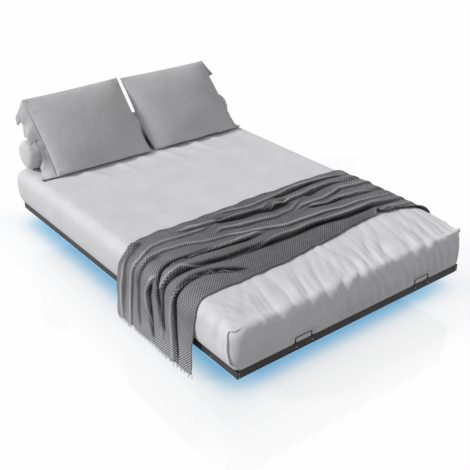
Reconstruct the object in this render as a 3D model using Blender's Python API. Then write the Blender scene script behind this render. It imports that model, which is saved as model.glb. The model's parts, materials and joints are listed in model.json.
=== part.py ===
"""Floating bed, 140 x 200 cm: a slim steel rim on a recessed base, lit from below, with its bedding.

X runs across the bed, Y along it with the head at +Y, and Z up. The origin is on the floor, in
the middle of the rim. Lengths are in metres.
"""
import math

import bmesh
import bpy
from mathutils import Matrix, Vector

# Rim of folded steel angle
FRAME_WIDTH = 1.42
FRAME_LENGTH = 2.03
FLOOR_TO_RIM = 0.165
RAIL_HEIGHT = 0.040
RAIL_FLANGE = 0.040
RAIL_WALL = 0.003
RAIL_BEND = 0.005
MITRE_GAP = 0.0002

# Clearances
SEAT = 0.0003
SCREW_PLAY = 0.0003
CUT_OVERRUN = 0.002

# Corner brackets
BRACKET_WALL = 0.003
BRACKET_LEG = 0.055
FOOT_BRACKET_LEG = 0.205
BRACKET_TOP_DROP = 0.004

# Screws of the rim
RIM_SCREW_SHANK = 0.0025
RIM_SCREW_HEAD = 0.0042
RIM_SCREW_RISE = 0.0022
RIM_SCREW_TIP = 0.001
RIM_SCREW_HEAD_SHARES = ((1.00, 0.00), (0.85, 0.55), (0.45, 1.00))
CORNER_SCREW_INSET = 0.010
CORNER_SCREW_HEIGHTS = (0.011, 0.027)
SIDE_SCREW_HEIGHT = 0.018
HEAD_SIDE_SCREW = 0.035
FOOT_SIDE_SCREW = 0.183

# Retainer loops of bent wire at the foot
LOOP_WIRE = 0.0025
LOOP_WIDTH = 0.095
LOOP_RISE = 0.030
LOOP_BEND = 0.007
LOOP_CENTRE_SHARES = (-0.4775, 0.6134)
LOOP_EYE_WIDTH = 0.011
LOOP_EYE_WALL = 0.003
LOOP_EYE_CORNER_SHARE = 0.55
LOOP_EYE_BOTTOM = 0.008
LOOP_EYE_TOP = 0.034
LOOP_SCREW_HEIGHT = 0.023

# Deck slats of top-hat section
SLAT_COUNT = 10
SLAT_END_INSET = 0.100
SLAT_WIDTH = 0.060
SLAT_HEIGHT = 0.0194
SLAT_WALL = 0.0015
SLAT_CROWN = 0.032
SLAT_WAIST = 0.036
SLAT_END_CLEARANCE = 0.006
SLAT_BOLT_INSET = 0.027

# Hexagon bolts
BOLT_SHANK = 0.0025
BOLT_HEAD = 0.0042
BOLT_HEAD_HEIGHT = 0.0032
BOLT_TIP = 0.0015

# Recessed base
BASE_SIDE_INSET = 0.390
BASE_END_INSET = 0.395
BEAM_WIDTH = 0.040
BEAM_HEIGHT = 0.030
BEAM_WALL = 0.002
TONGUE_WALL = 0.003
TONGUE_ROOT = 0.045
TONGUE_END_INSET = 0.018
BEAM_BOLT_INSET = 0.029
TIE_WIDTH = 0.030
TIE_HEIGHT = 0.015
TIE_WALL = 0.0015
TIE_OVERHANG = 0.004
LEG_SIDE = 0.038
LEG_CHAMFER = 0.005
LEG_WALL = 0.002
LEG_TOP_WALL = 0.004
STUD_RADIUS = 0.005
STUD_TIP = 0.006
CAP_WALL = 0.002
CAP_FLOOR = 0.004
CAP_HEIGHT = 0.022

# Lighting under the rim
STRIP_WIDTH = 0.010
STRIP_HEIGHT = 0.0030
STRIP_CHAMFER = 0.0008
STRIP_INSET = 0.003
STRIP_CORNER = 0.025
FEED_GAP = 0.055
LEAD_RADIUS = 0.0010
LEAD_ROOT = 0.006
LEAD_BEND_SHARE = 0.55
FEED_BEND_SHARE = 0.60
CASE_END_INSET = 0.135
CASE_LENGTH = 0.090
CASE_WIDTH = 0.048
CASE_HEIGHT = 0.022
CASE_WALL = 0.002
CASE_CORNER = 0.004
CASE_INSET = 0.022
LIP_WALL = 0.0015
LIP_HEIGHT = 0.003
BOARD_WALL = 0.0016
BOARD_MARGIN = 0.001
BUTTON_RADIUS = 0.004
BUTTON_PITCH = 0.018
BUTTON_PROUD = 0.0015
BUTTON_TRAVEL = 0.001
BUTTON_PLAY = 0.00025
BUTTON_COLLAR = 0.0052
BUTTON_COLLAR_WALL = 0.0012
BUTTON_STEM = 0.002
BUTTON_STEM_LENGTH = 0.003
BUTTON_EDGE = 0.0005
SWITCH_SIDE = 0.0035
SWITCH_DEPTH = 0.005
INLET_BODY = 0.0042
INLET_FLANGE = 0.0055
INLET_FLANGE_WALL = 0.001
INLET_LENGTH = 0.014
INLET_BORE = 0.0032
INLET_DEPTH = 0.009
INLET_PIN = 0.001
INLET_PIN_RECESS = 0.002

# Mattress and the sheet tucked round it
BEDDING_SIDE_CLEARANCE = 0.010
BEDDING_END_CLEARANCE = 0.012
BEDDING_HEIGHT = 0.2357
BEDDING_BULGE_SIDE = 0.045
BEDDING_BULGE_END = 0.030
BEDDING_EDGE = 0.075
BEDDING_CORNER = 0.095
BEDDING_CORNER_STEPS = 6
SHEET_WALL = 0.0027
SHEET_TUCK = 0.060
# Each level up the side: share of the height, of the bulge and of the rounded edge
BEDDING_LEVEL_SHARES = (
    (0.00, 0.00, 0.12), (0.03, 0.00, 0.02), (0.09, 0.02, 0.00), (0.17, 0.06, 0.00),
    (0.26, 0.35, 0.00), (0.38, 0.72, 0.00), (0.55, 0.95, 0.00), (0.72, 1.00, 0.00),
    (0.84, 1.00, 0.10), (0.93, 1.00, 0.30), (0.98, 1.00, 0.62), (1.00, 1.00, 1.15),
)

# Bolster behind the pillows
BOLSTER_OVERHANG = 0.020
BOLSTER_RADIUS = 0.095
BOLSTER_INSET = 0.065
BOLSTER_FLAT = 0.003
BOLSTER_SIDES = 16
BOLSTER_STATION_SHARES = (
    (-1.000, 0.30), (-0.990, 0.66), (-0.968, 0.90), (-0.930, 0.99), (-0.500, 1.00),
    (0.000, 0.98), (0.500, 1.00), (0.930, 0.99), (0.968, 0.90), (0.990, 0.66), (1.000, 0.30),
)

# Pillows in their cases, leaning on the bolster
PILLOW_SIDE_INSET = 0.080
PILLOW_GAP = 0.036
PILLOW_PAIR_SHIFT = 0.028
PILLOW_LENGTH = 0.495
PILLOW_FRONT = 0.072
PILLOW_BACK = 0.042
PILLOW_SEAM = 0.005
PILLOW_PULL_SIDE = 0.020
PILLOW_PULL_END = 0.014
PILLOW_FOOT_INSET = 0.265
PILLOW_LEAN = math.radians(40.5)
PILLOW_SHIFT = -0.028
PILLOW_TOUCH = 0.0012
CASE_CLOTH = 0.002
CASE_SLIT = 0.0006
MOUTH_LENGTH = 0.052
MOUTH_DROP = 0.040
PILLOW_EDGE_POWER = 4
PILLOW_SWELL_POWER = 0.62
PILLOW_SHARES = (-1.0, -0.9, -0.65, -0.33, 0.0, 0.33, 0.65, 0.9, 1.0)
SLOPE_SHARES = (-1.0, -0.93, -0.78, -0.62, -0.48, -0.43, -0.37, -0.285, -0.185, -0.085, 0.0,
                0.065, 0.12, 0.30, 0.55, 0.78, 0.93, 1.0)
MOUTH_SHARES = (0.5, 1.0)

# Throw across the foot third, over the left edge to the floor
THROW_WALL = 0.004
THROW_TOUCH = 0.0006
THROW_HEM = 0.004
THROW_RIGHT_DROP = 0.060
THROW_FOOT_DISTANCE = 0.865
THROW_WIDTH = 0.600
THROW_FOLD = 0.015
THROW_FOLDS = 5
THROW_FOLD_POWER = 4
THROW_COLUMNS = 20
THROW_TOP_SHARES = (0.66, 0.30, -0.05, -0.40, -0.72)
THROW_HANG_SHARES = (0.15, 0.35, 0.55, 0.78, 1.0)
# Where each edge of the throw lies: share of the run from right to left, shares of the width
THROW_EDGE_SHARES = (
    (0.00, 0.06, 1.04), (0.08, 0.02, 0.95), (0.16, 0.00, 0.84), (0.30, -0.02, 0.90),
    (0.44, -0.01, 1.03), (0.60, 0.01, 1.10), (0.70, 0.02, 1.05), (0.80, 0.00, 1.04),
    (0.90, -0.04, 0.96), (1.00, -0.06, 0.93),
)

# The folds wander along the run and rise and sink: size, turns and start of each wave
THROW_DRIFT_SHARES = ((0.35, 2.30, 0.00), (0.20, 0.80, 0.16))
THROW_RISE_SHARES = (0.60, 0.40)
THROW_RISE_TURN_SHARES = (1.11, 0.64, 0.25)
THROW_MITRE_LIMIT_SHARE = 0.50

# Places and sizes that follow from the rim
LOOP_CENTRES = [share * FRAME_WIDTH / 2 for share in LOOP_CENTRE_SHARES]
SLAT_RUN = FRAME_LENGTH - 2 * SLAT_END_INSET
BEAM_SPACING = FRAME_WIDTH / 2 - BASE_SIDE_INSET
TIE_SPACING = FRAME_LENGTH / 2 - BASE_END_INSET
CASE_START = FRAME_LENGTH / 2 - CASE_END_INSET - CASE_LENGTH
FEED_END = CASE_START - FEED_GAP
SHEET_LOWER_WIDTH = FRAME_WIDTH - 2 * (RAIL_WALL + BEDDING_SIDE_CLEARANCE)
SHEET_LOWER_LENGTH = FRAME_LENGTH - 2 * (RAIL_WALL + BEDDING_END_CLEARANCE)
BOLSTER_LENGTH = FRAME_WIDTH + 2 * BOLSTER_OVERHANG
BOLSTER_CENTRE = FRAME_LENGTH / 2 - BOLSTER_INSET
PILLOW_WIDTH = (FRAME_WIDTH - PILLOW_GAP) / 2 - PILLOW_SIDE_INSET
PILLOW_FOOT = FRAME_LENGTH / 2 - PILLOW_FOOT_INSET
PILLOW_CENTRES = [(name, PILLOW_PAIR_SHIFT + side * (PILLOW_WIDTH + PILLOW_GAP) / 2, side)
                  for name, side in (("left", -1), ("right", 1))]
THROW_HEAD_EDGE = THROW_FOOT_DISTANCE - FRAME_LENGTH / 2

# Heights that follow from the sizes above
RIM_TOP = FLOOR_TO_RIM + RAIL_HEIGHT
FLANGE_TOP = FLOOR_TO_RIM + RAIL_WALL
SLAT_BOTTOM = FLANGE_TOP + SEAT
DECK_TOP = SLAT_BOTTOM + SLAT_HEIGHT
SHEET_BOTTOM = DECK_TOP + SEAT
BED_TOP = SHEET_BOTTOM + BEDDING_HEIGHT
REST_TOP = BED_TOP + SEAT
BEAM_TOP = SLAT_BOTTOM - SEAT
BEAM_BOTTOM = BEAM_TOP - BEAM_HEIGHT
TONGUE_TOP = FLOOR_TO_RIM - SEAT
TIE_TOP = BEAM_BOTTOM - SEAT
TIE_BOTTOM = TIE_TOP - TIE_HEIGHT
LEG_TOP = TIE_BOTTOM - SEAT
STRIP_TOP = FLOOR_TO_RIM - SEAT
STRIP_BOTTOM = STRIP_TOP - STRIP_HEIGHT


def clear_scene():
    """Remove every object that the scene holds."""
    for obj in list(bpy.data.objects):
        bpy.data.objects.remove(obj, do_unlink=True)


def make_material(name, colour, roughness, metallic=0.0):
    """A plain shader with the finish of one kind of surface; colour is linear red, green, blue."""
    material = bpy.data.materials.new(name)
    material.use_nodes = True
    shader = material.node_tree.nodes["Principled BSDF"]
    shader.inputs["Base Color"].default_value = (*colour, 1.0)
    shader.inputs["Roughness"].default_value = roughness
    shader.inputs["Metallic"].default_value = metallic
    return material


def add_object(name, mesh_data, material, smooth_angle=math.radians(35)):
    """Turn a bmesh into a named object with outward faces, smooth where its faces meet gently."""
    bmesh.ops.recalc_face_normals(mesh_data, faces=mesh_data.faces)
    mesh = bpy.data.meshes.new(name)
    mesh_data.to_mesh(mesh)
    mesh_data.free()
    mesh.shade_smooth()
    mesh.set_sharp_from_angle(angle=smooth_angle)
    mesh.materials.append(material)
    obj = bpy.data.objects.new(name, mesh)
    bpy.context.scene.collection.objects.link(obj)
    return obj


def add_cutter(name, mesh_data, targets, operation="DIFFERENCE"):
    """A wire guide that is cut out of, or joined to, each target by a Boolean modifier."""
    bmesh.ops.recalc_face_normals(mesh_data, faces=mesh_data.faces)
    mesh = bpy.data.meshes.new(name)
    mesh_data.to_mesh(mesh)
    mesh_data.free()
    cutter = bpy.data.objects.new(name, mesh)
    cutter.hide_render = True
    cutter.display_type = "WIRE"
    bpy.context.scene.collection.objects.link(cutter)
    for target in targets:
        boolean = target.modifiers.new(name, "BOOLEAN")
        boolean.operation = operation
        boolean.solver = "EXACT"
        boolean.object = cutter
    return cutter


def loft(mesh_data, rings, close=True):
    """Skin a run of rings of equal count with triangles, and cap the first and last."""
    loops = [[mesh_data.verts.new(point) for point in ring] for ring in rings]
    for lower, upper in zip(loops, loops[1:]):
        count = len(lower)
        for i in range(count):
            j = (i + 1) % count
            mesh_data.faces.new((lower[i], lower[j], upper[j]))
            mesh_data.faces.new((lower[i], upper[j], upper[i]))
    if close:
        mesh_data.faces.new(list(reversed(loops[0])))
        mesh_data.faces.new(loops[-1])
    return loops


def prism(mesh_data, outline, origin, across, up, along):
    """Push a flat outline along a vector; across and up are its two directions in space."""
    base = [origin + across * u + up * v for u, v in outline]
    loft(mesh_data, [base, [point + along for point in base]])


def box(mesh_data, low, high):
    """A block between two corners."""
    size = Vector(high) - Vector(low)
    middle = (Vector(high) + Vector(low)) / 2
    bmesh.ops.create_cube(
        mesh_data, size=1.0, matrix=Matrix.Translation(middle) @ Matrix.Diagonal((*size, 1.0)))


def turn(mesh_data, profile, origin, axis, sides):
    """Revolve pairs of radius and distance about an axis; a radius of zero ends in a point."""
    axis = Vector(axis).normalized()
    side = axis.orthogonal().normalized()
    front = axis.cross(side)
    rings = []
    for radius, distance in profile:
        centre = Vector(origin) + axis * distance
        ring = []
        for i in range(sides):
            angle = math.tau * (i + 0.5) / sides
            ring.append(centre + (side * math.cos(angle) + front * math.sin(angle)) * radius)
        rings.append(ring)
    loft(mesh_data, rings)


def tube(mesh_data, path, radius, sides):
    """A round solid along a path of points, its rings square to the path."""
    normal = None
    rings = []
    for i, point in enumerate(path):
        before = path[max(i - 1, 0)]
        after = path[min(i + 1, len(path) - 1)]
        heading = (after - before).normalized()
        if normal is None:
            normal = heading.orthogonal().normalized()
        normal = (normal - heading * normal.dot(heading)).normalized()
        other = heading.cross(normal)
        ring = []
        for k in range(sides):
            angle = math.tau * k / sides
            ring.append(point + (normal * math.cos(angle) + other * math.sin(angle)) * radius)
        rings.append(ring)
    loft(mesh_data, rings)


def arc(centre, radius, start, end, steps):
    """Points in a plane on a circular arc, angles in radians."""
    points = []
    for i in range(steps + 1):
        angle = start + (end - start) * i / steps
        points.append((centre[0] + radius * math.cos(angle), centre[1] + radius * math.sin(angle)))
    return points


# Rim

def rail_outline():
    """Section of a rail: inward distance and height, with the fold at its outer lower corner."""
    quarter = math.pi / 2
    centre = (RAIL_BEND, RAIL_BEND)
    outer = arc(centre, RAIL_BEND, 2 * quarter, 3 * quarter, 3)
    inner = arc(centre, RAIL_BEND - RAIL_WALL, 3 * quarter, 2 * quarter, 3)
    return (outer + [(RAIL_FLANGE, 0), (RAIL_FLANGE, RAIL_WALL)]
            + inner + [(RAIL_WALL, RAIL_HEIGHT), (0, RAIL_HEIGHT)])


def make_rail(name, direction, half_across, half_run, material):
    """One mitred rail. Direction points outwards from the bed to this rail's face."""
    outward = Vector(direction)
    along = Vector((0, 0, 1)).cross(outward)
    mesh_data = bmesh.new()
    rings = []
    for end in (-1, 1):
        ring = []
        for inward, height in rail_outline():
            reach = half_run - inward - MITRE_GAP
            point = outward * (half_across - inward) + along * (end * reach)
            ring.append(point + Vector((0, 0, FLOOR_TO_RIM + height)))
        rings.append(ring)
    loft(mesh_data, rings)
    return add_object(name, mesh_data, material)


def bracket_screws(side, end):
    """Place and outward axis of the three screws of one corner; side and end are -1 or 1."""
    half_w, half_l = FRAME_WIDTH / 2, FRAME_LENGTH / 2
    screws = []
    for height in CORNER_SCREW_HEIGHTS:
        place = (side * (half_w - CORNER_SCREW_INSET), end * half_l, FLOOR_TO_RIM + height)
        screws.append((place, (0, end, 0)))
    inset = HEAD_SIDE_SCREW if end > 0 else FOOT_SIDE_SCREW
    place = (side * half_w, end * (half_l - inset), FLOOR_TO_RIM + SIDE_SCREW_HEIGHT)
    screws.append((place, (side, 0, 0)))
    return screws


def loop_screws(centre):
    """Place and outward axis of the two screws of one retainer loop."""
    height = FLOOR_TO_RIM + LOOP_SCREW_HEIGHT
    return [((centre + side * LOOP_WIDTH / 2, -FRAME_LENGTH / 2, height), (0, -1, 0))
            for side in (-1, 1)]


def join_screws(piece, screws, plate_wall):
    """Join button-head screws to the tapped piece behind the rail that they are driven into."""
    grip = RAIL_WALL + SEAT + plate_wall + RIM_SCREW_TIP
    head = [(RIM_SCREW_HEAD * radius_share, SEAT + RIM_SCREW_RISE * rise_share)
            for radius_share, rise_share in RIM_SCREW_HEAD_SHARES]
    mesh_data = bmesh.new()
    for place, axis in screws:
        turn(mesh_data, [(RIM_SCREW_SHANK, -grip), (RIM_SCREW_SHANK, SEAT)] + head, place, axis, 8)
    add_cutter(piece.name + "_screws", mesh_data, [piece], "UNION")


def drill_rails(rails):
    """Cut the clearance holes of the screws and bolts through the rails."""
    holes = bmesh.new()
    screws = [screw for side in (-1, 1) for end in (-1, 1) for screw in bracket_screws(side, end)]
    screws += [screw for centre in LOOP_CENTRES for screw in loop_screws(centre)]
    bore = RIM_SCREW_SHANK + SCREW_PLAY
    for place, axis in screws:
        turn(holes, [(bore, -RAIL_WALL - CUT_OVERRUN), (bore, CUT_OVERRUN)], place, axis, 8)
    bore = BOLT_SHANK + SCREW_PLAY
    x = FRAME_WIDTH / 2 - SLAT_BOLT_INSET
    y = FRAME_LENGTH / 2 - BEAM_BOLT_INSET
    places = [(side * x, slat_bolt_place(centre)) for centre in slat_centres() for side in (-1, 1)]
    places += [(beam_x, end * y) for _, beam_x in beam_places() for end in (-1, 1)]
    for place in places:
        turn(holes, [(bore, -CUT_OVERRUN), (bore, RAIL_WALL + CUT_OVERRUN)],
             (*place, FLOOR_TO_RIM), (0, 0, 1), 6)
    add_cutter("rail_holes", holes, rails)


def make_corner_brackets(material):
    """Angle plates inside the corners of the rim; those at the foot have a long side leg."""
    inner_x = FRAME_WIDTH / 2 - RAIL_WALL - SEAT
    inner_y = FRAME_LENGTH / 2 - RAIL_WALL - SEAT
    low = FLANGE_TOP + SEAT + RAIL_BEND - RAIL_WALL
    high = RIM_TOP - BRACKET_TOP_DROP
    for end_name, end, leg in (("head", 1, BRACKET_LEG), ("foot", -1, FOOT_BRACKET_LEG)):
        plan = [(inner_x, inner_y), (inner_x - BRACKET_LEG, inner_y),
                (inner_x - BRACKET_LEG, inner_y - BRACKET_WALL),
                (inner_x - BRACKET_WALL, inner_y - BRACKET_WALL),
                (inner_x - BRACKET_WALL, inner_y - leg), (inner_x, inner_y - leg)]
        for side_name, side in (("left", -1), ("right", 1)):
            mesh_data = bmesh.new()
            rings = [[Vector((side * x, end * y, z)) for x, y in plan] for z in (low, high)]
            loft(mesh_data, rings)
            bracket = add_object(f"corner_bracket_{end_name}_{side_name}", mesh_data, material)
            join_screws(bracket, bracket_screws(side, end), BRACKET_WALL)


def make_retainer_loop(name, centre, material):
    """A wire loop behind the foot rail: two posts, a rounded bridge and two flattened eyes."""
    rail_face = -FRAME_LENGTH / 2 + RAIL_WALL + SEAT
    depth = rail_face + LOOP_WIRE
    top = RIM_TOP + LOOP_RISE - LOOP_WIRE
    start = FLOOR_TO_RIM + LOOP_EYE_TOP - LOOP_EYE_WIDTH / 2
    half = LOOP_WIDTH / 2
    path = [Vector((centre - half, depth, start))]
    for sign, first in ((-1, math.pi), (1, math.pi / 2)):
        corner = (centre + sign * (half - LOOP_BEND), top - LOOP_BEND)
        for x, z in arc(corner, LOOP_BEND, first, first - math.pi / 2, 4):
            path.append(Vector((x, depth, z)))
    path.append(Vector((centre + half, depth, start)))
    mesh_data = bmesh.new()
    tube(mesh_data, path, LOOP_WIRE, 8)
    loop = add_object(name, mesh_data, material)
    eyes = bmesh.new()
    for sign in (-1, 1):
        x = centre + sign * half
        low = FLOOR_TO_RIM + LOOP_EYE_BOTTOM
        high = FLOOR_TO_RIM + LOOP_EYE_TOP
        wide = LOOP_EYE_WIDTH / 2
        narrow = LOOP_EYE_CORNER_SHARE * wide
        outline = [(-narrow, 0), (narrow, 0), (wide, narrow), (wide, high - low - wide),
                   (narrow, high - low), (-narrow, high - low), (-wide, high - low - wide),
                   (-wide, narrow)]
        prism(eyes, outline, Vector((x, rail_face, low)), Vector((1, 0, 0)), Vector((0, 0, 1)),
              Vector((0, LOOP_EYE_WALL, 0)))
    add_cutter(name + "_eyes", eyes, [loop], "UNION")
    join_screws(loop, loop_screws(centre), LOOP_EYE_WALL)


# Deck

def slat_centres():
    """Places of the slats along the bed."""
    return [SLAT_RUN * (i / (SLAT_COUNT - 1) - 0.5) for i in range(SLAT_COUNT)]


def slat_half_length():
    """Half the length of a slat between the side rails."""
    return FRAME_WIDTH / 2 - RAIL_WALL - SLAT_END_CLEARANCE


def slat_bolt_place(centre):
    """Place of a slat's bolts along the bed, in the middle of the slat's nearer foot."""
    return centre - (SLAT_WIDTH + SLAT_WAIST) / 4


def join_bolts(piece, places, grip):
    """Join hexagon bolts, driven from below, to the piece that they are threaded into."""
    mesh_data = bmesh.new()
    for place in places:
        turn(mesh_data, [(BOLT_HEAD, -SEAT - BOLT_HEAD_HEIGHT), (BOLT_HEAD, -SEAT),
                         (BOLT_SHANK, -SEAT), (BOLT_SHANK, grip + BOLT_TIP)], place, (0, 0, 1), 6)
    add_cutter(piece.name + "_bolts", mesh_data, [piece], "UNION")


def make_slats(material):
    """Folded top-hat slats across the bed, bolted up through the flanges of the side rails."""
    foot, waist, crown = SLAT_WIDTH / 2, SLAT_WAIST / 2, SLAT_CROWN / 2
    wall, height = SLAT_WALL, SLAT_HEIGHT
    right = [(foot, wall), (foot, 0), (waist - wall, 0), (crown - wall, height - wall)]
    outline = ([(-crown, height), (crown, height), (waist, wall)] + right
               + [(-u, v) for u, v in reversed(right)] + [(-waist, wall)])
    half = slat_half_length()
    bolt_x = FRAME_WIDTH / 2 - SLAT_BOLT_INSET
    for number, centre in enumerate(slat_centres(), 1):
        mesh_data = bmesh.new()
        prism(mesh_data, outline, Vector((-half, centre, SLAT_BOTTOM)), Vector((0, 1, 0)),
              Vector((0, 0, 1)), Vector((2 * half, 0, 0)))
        slat = add_object(f"slat_{number:02d}", mesh_data, material)
        places = [(side * bolt_x, slat_bolt_place(centre), FLOOR_TO_RIM) for side in (-1, 1)]
        join_bolts(slat, places, RAIL_WALL + SEAT + SLAT_WALL)


# Base

def beam_places():
    """Places of the lengthwise beams across the bed."""
    return (("left", -BEAM_SPACING), ("centre", 0), ("right", BEAM_SPACING))


def tie_places():
    """Places of the cross ties along the bed."""
    return (("foot", -TIE_SPACING), ("middle", 0), ("head", TIE_SPACING))


def tube_outline(width, height):
    """Corners of a rectangle whose lower edge is at zero."""
    return [(-width / 2, 0), (width / 2, 0), (width / 2, height), (-width / 2, height)]


def hollow_bar(mesh_data, width, height, wall, origin, across, along):
    """An open-ended rectangular tube along a vector."""
    up = Vector((0, 0, 1))
    outer = [origin + across * u + up * v for u, v in tube_outline(width, height)]
    inner = [origin + across * u + up * (v + wall)
             for u, v in tube_outline(width - 2 * wall, height - 2 * wall)]
    rings = [outer, [p + along for p in outer], [p + along for p in inner], inner, outer]
    loops = [[mesh_data.verts.new(point) for point in ring] for ring in rings[:4]]
    loops.append(loops[0])
    for lower, upper in zip(loops, loops[1:]):
        for i in range(4):
            j = (i + 1) % 4
            mesh_data.faces.new((lower[i], lower[j], upper[j], upper[i]))


def make_beams(material):
    """Three beams between the end rails, each with a tongue bolted under the rail's flange."""
    beams = []
    half = FRAME_LENGTH / 2 - RAIL_FLANGE - SEAT
    tongue_end = FRAME_LENGTH / 2 - TONGUE_END_INSET
    bolt_y = FRAME_LENGTH / 2 - BEAM_BOLT_INSET
    for name, x in beam_places():
        mesh_data = bmesh.new()
        hollow_bar(mesh_data, BEAM_WIDTH, BEAM_HEIGHT, BEAM_WALL, Vector((x, -half, BEAM_BOTTOM)),
                   Vector((1, 0, 0)), Vector((0, 2 * half, 0)))
        beam = add_object("beam_" + name, mesh_data, material)
        tongues = bmesh.new()
        reach = BEAM_WIDTH / 2 - BEAM_WALL / 2
        for end in (-1, 1):
            low_y, high_y = sorted((end * (half - TONGUE_ROOT), end * tongue_end))
            box(tongues, (x - reach, low_y, TONGUE_TOP - TONGUE_WALL), (x + reach, high_y, TONGUE_TOP))
        add_cutter("beam_" + name + "_tongues", tongues, [beam], "UNION")
        places = [(x, end * bolt_y, TONGUE_TOP - TONGUE_WALL) for end in (-1, 1)]
        join_bolts(beam, places, TONGUE_WALL + SEAT + RAIL_WALL)
        beams.append(beam)
    return beams


def make_ties(material):
    """Cross ties clamped between the legs and the beams."""
    ties = []
    half = BEAM_SPACING + BEAM_WIDTH / 2 + TIE_OVERHANG
    for name, y in tie_places():
        mesh_data = bmesh.new()
        hollow_bar(mesh_data, TIE_WIDTH, TIE_HEIGHT, TIE_WALL, Vector((-half, y, TIE_BOTTOM)),
                   Vector((0, 1, 0)), Vector((2 * half, 0, 0)))
        ties.append(add_object("cross_tie_" + name, mesh_data, material))
    return ties


def leg_places():
    """Name and place of each leg: the corners of the base, its middle, and the two sides."""
    places = []
    for row, y in tie_places():
        for column, x in beam_places():
            if row == "middle" or column != "centre":
                places.append((f"{row}_{column}", (x, y)))
    return places


def octagon(centre, side, chamfer, height):
    """A square ring with its corners cut off, eight points from the first side."""
    half, flat = side / 2, side / 2 - chamfer
    corners = [(half, -flat), (half, flat), (flat, half), (-flat, half),
               (-half, flat), (-half, -flat), (-flat, -half), (flat, -half)]
    return [Vector((centre[0] + x, centre[1] + y, height)) for x, y in corners]


def regular_chamfer(side):
    """Chamfer that makes a square ring a regular octagon."""
    return side / (2 + math.sqrt(2))


def make_legs(material, drilled):
    """Square legs, closed at the top, whose studs clamp the ties to the beams."""
    holes = bmesh.new()
    stud_end = BEAM_BOTTOM + BEAM_WALL + STUD_TIP
    inner = LEG_SIDE - 2 * LEG_WALL
    inner_chamfer = LEG_CHAMFER - LEG_WALL / 2
    stud = 2 * STUD_RADIUS
    bore = 2 * (STUD_RADIUS + SCREW_PLAY)
    for name, centre in leg_places():
        mesh_data = bmesh.new()
        loft(mesh_data, [octagon(centre, inner, inner_chamfer, LEG_TOP - LEG_TOP_WALL),
                         octagon(centre, inner, inner_chamfer, CAP_FLOOR + SEAT),
                         octagon(centre, LEG_SIDE, LEG_CHAMFER, CAP_FLOOR + SEAT),
                         octagon(centre, LEG_SIDE, LEG_CHAMFER, LEG_TOP),
                         octagon(centre, stud, regular_chamfer(stud), LEG_TOP),
                         octagon(centre, stud, regular_chamfer(stud), stud_end)])
        add_object("leg_" + name, mesh_data, material)
        for low, high in ((TIE_BOTTOM, TIE_TOP), (BEAM_BOTTOM, BEAM_BOTTOM + BEAM_WALL)):
            loft(holes, [octagon(centre, bore, regular_chamfer(bore), z)
                         for z in (low - SEAT / 2, high + SEAT / 2)])
    add_cutter("leg_stud_holes", holes, drilled)


def make_leg_caps(material):
    """Push-on plastic feet with a flat sole and a softened lower edge."""
    inner = LEG_SIDE + 2 * SEAT
    outer = inner + 2 * CAP_WALL
    chamfer = LEG_CHAMFER + CAP_WALL / 2
    for name, centre in leg_places():
        mesh_data = bmesh.new()
        loft(mesh_data, [octagon(centre, inner, LEG_CHAMFER, CAP_FLOOR),
                         octagon(centre, inner, LEG_CHAMFER, CAP_HEIGHT),
                         octagon(centre, outer, chamfer, CAP_HEIGHT),
                         octagon(centre, outer, chamfer, CAP_WALL),
                         octagon(centre, outer - 2 * CAP_WALL, LEG_CHAMFER, 0)])
        add_object("foot_cap_" + name, mesh_data, material)


# Lighting

def strip_centre_inset():
    """Distance from the outer face of a rail to the middle of its light strip."""
    return STRIP_INSET + STRIP_WIDTH / 2


def smooth_path(start, start_heading, end, end_heading, reach, steps):
    """Points on a smooth curve that leaves and arrives along the given headings."""
    first, last = Vector(start), Vector(end)
    second = first + Vector(start_heading) * reach
    third = last - Vector(end_heading) * reach
    points = []
    for i in range(steps + 1):
        t = i / steps
        points.append(first * (1 - t) ** 3 + second * (3 * t * (1 - t) ** 2)
                      + third * (3 * t * t * (1 - t)) + last * t ** 3)
    return points


def lead_height():
    """Height of the leads where they join the strips."""
    return STRIP_BOTTOM + STRIP_HEIGHT / 2


def corner_lead(side, end):
    """Path of a jumper lead round a corner, from inside one strip to the face of the next."""
    half_w, half_l = FRAME_WIDTH / 2, FRAME_LENGTH / 2
    inset = strip_centre_inset()
    start = (side * (half_w - inset), end * (half_l - STRIP_CORNER - LEAD_ROOT), lead_height())
    stop = (side * (half_w - STRIP_CORNER + SEAT), end * (half_l - inset), lead_height())
    reach = LEAD_BEND_SHARE * (STRIP_CORNER - inset)
    curve = smooth_path((start[0], end * (half_l - STRIP_CORNER), start[2]), (0, end, 0),
                        stop, (-side, 0, 0), reach, 6)
    return [Vector(start)] + curve


def feed_lead():
    """Path of the lead from inside the controller to the start of the right-hand strip."""
    inside = (case_middle(), CASE_START + 2 * CASE_WALL, case_axis_height())
    start = (case_middle(), CASE_START - CASE_WALL, case_axis_height())
    stop = (FRAME_WIDTH / 2 - strip_centre_inset(), FEED_END, lead_height())
    reach = FEED_BEND_SHARE * (CASE_START - FEED_END)
    curve = smooth_path(start, (0, -1, 0), stop, (0, -1, 0), reach, 12)
    return [Vector(inside)] + curve + [Vector(stop) - Vector((0, LEAD_ROOT, 0))]


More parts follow.
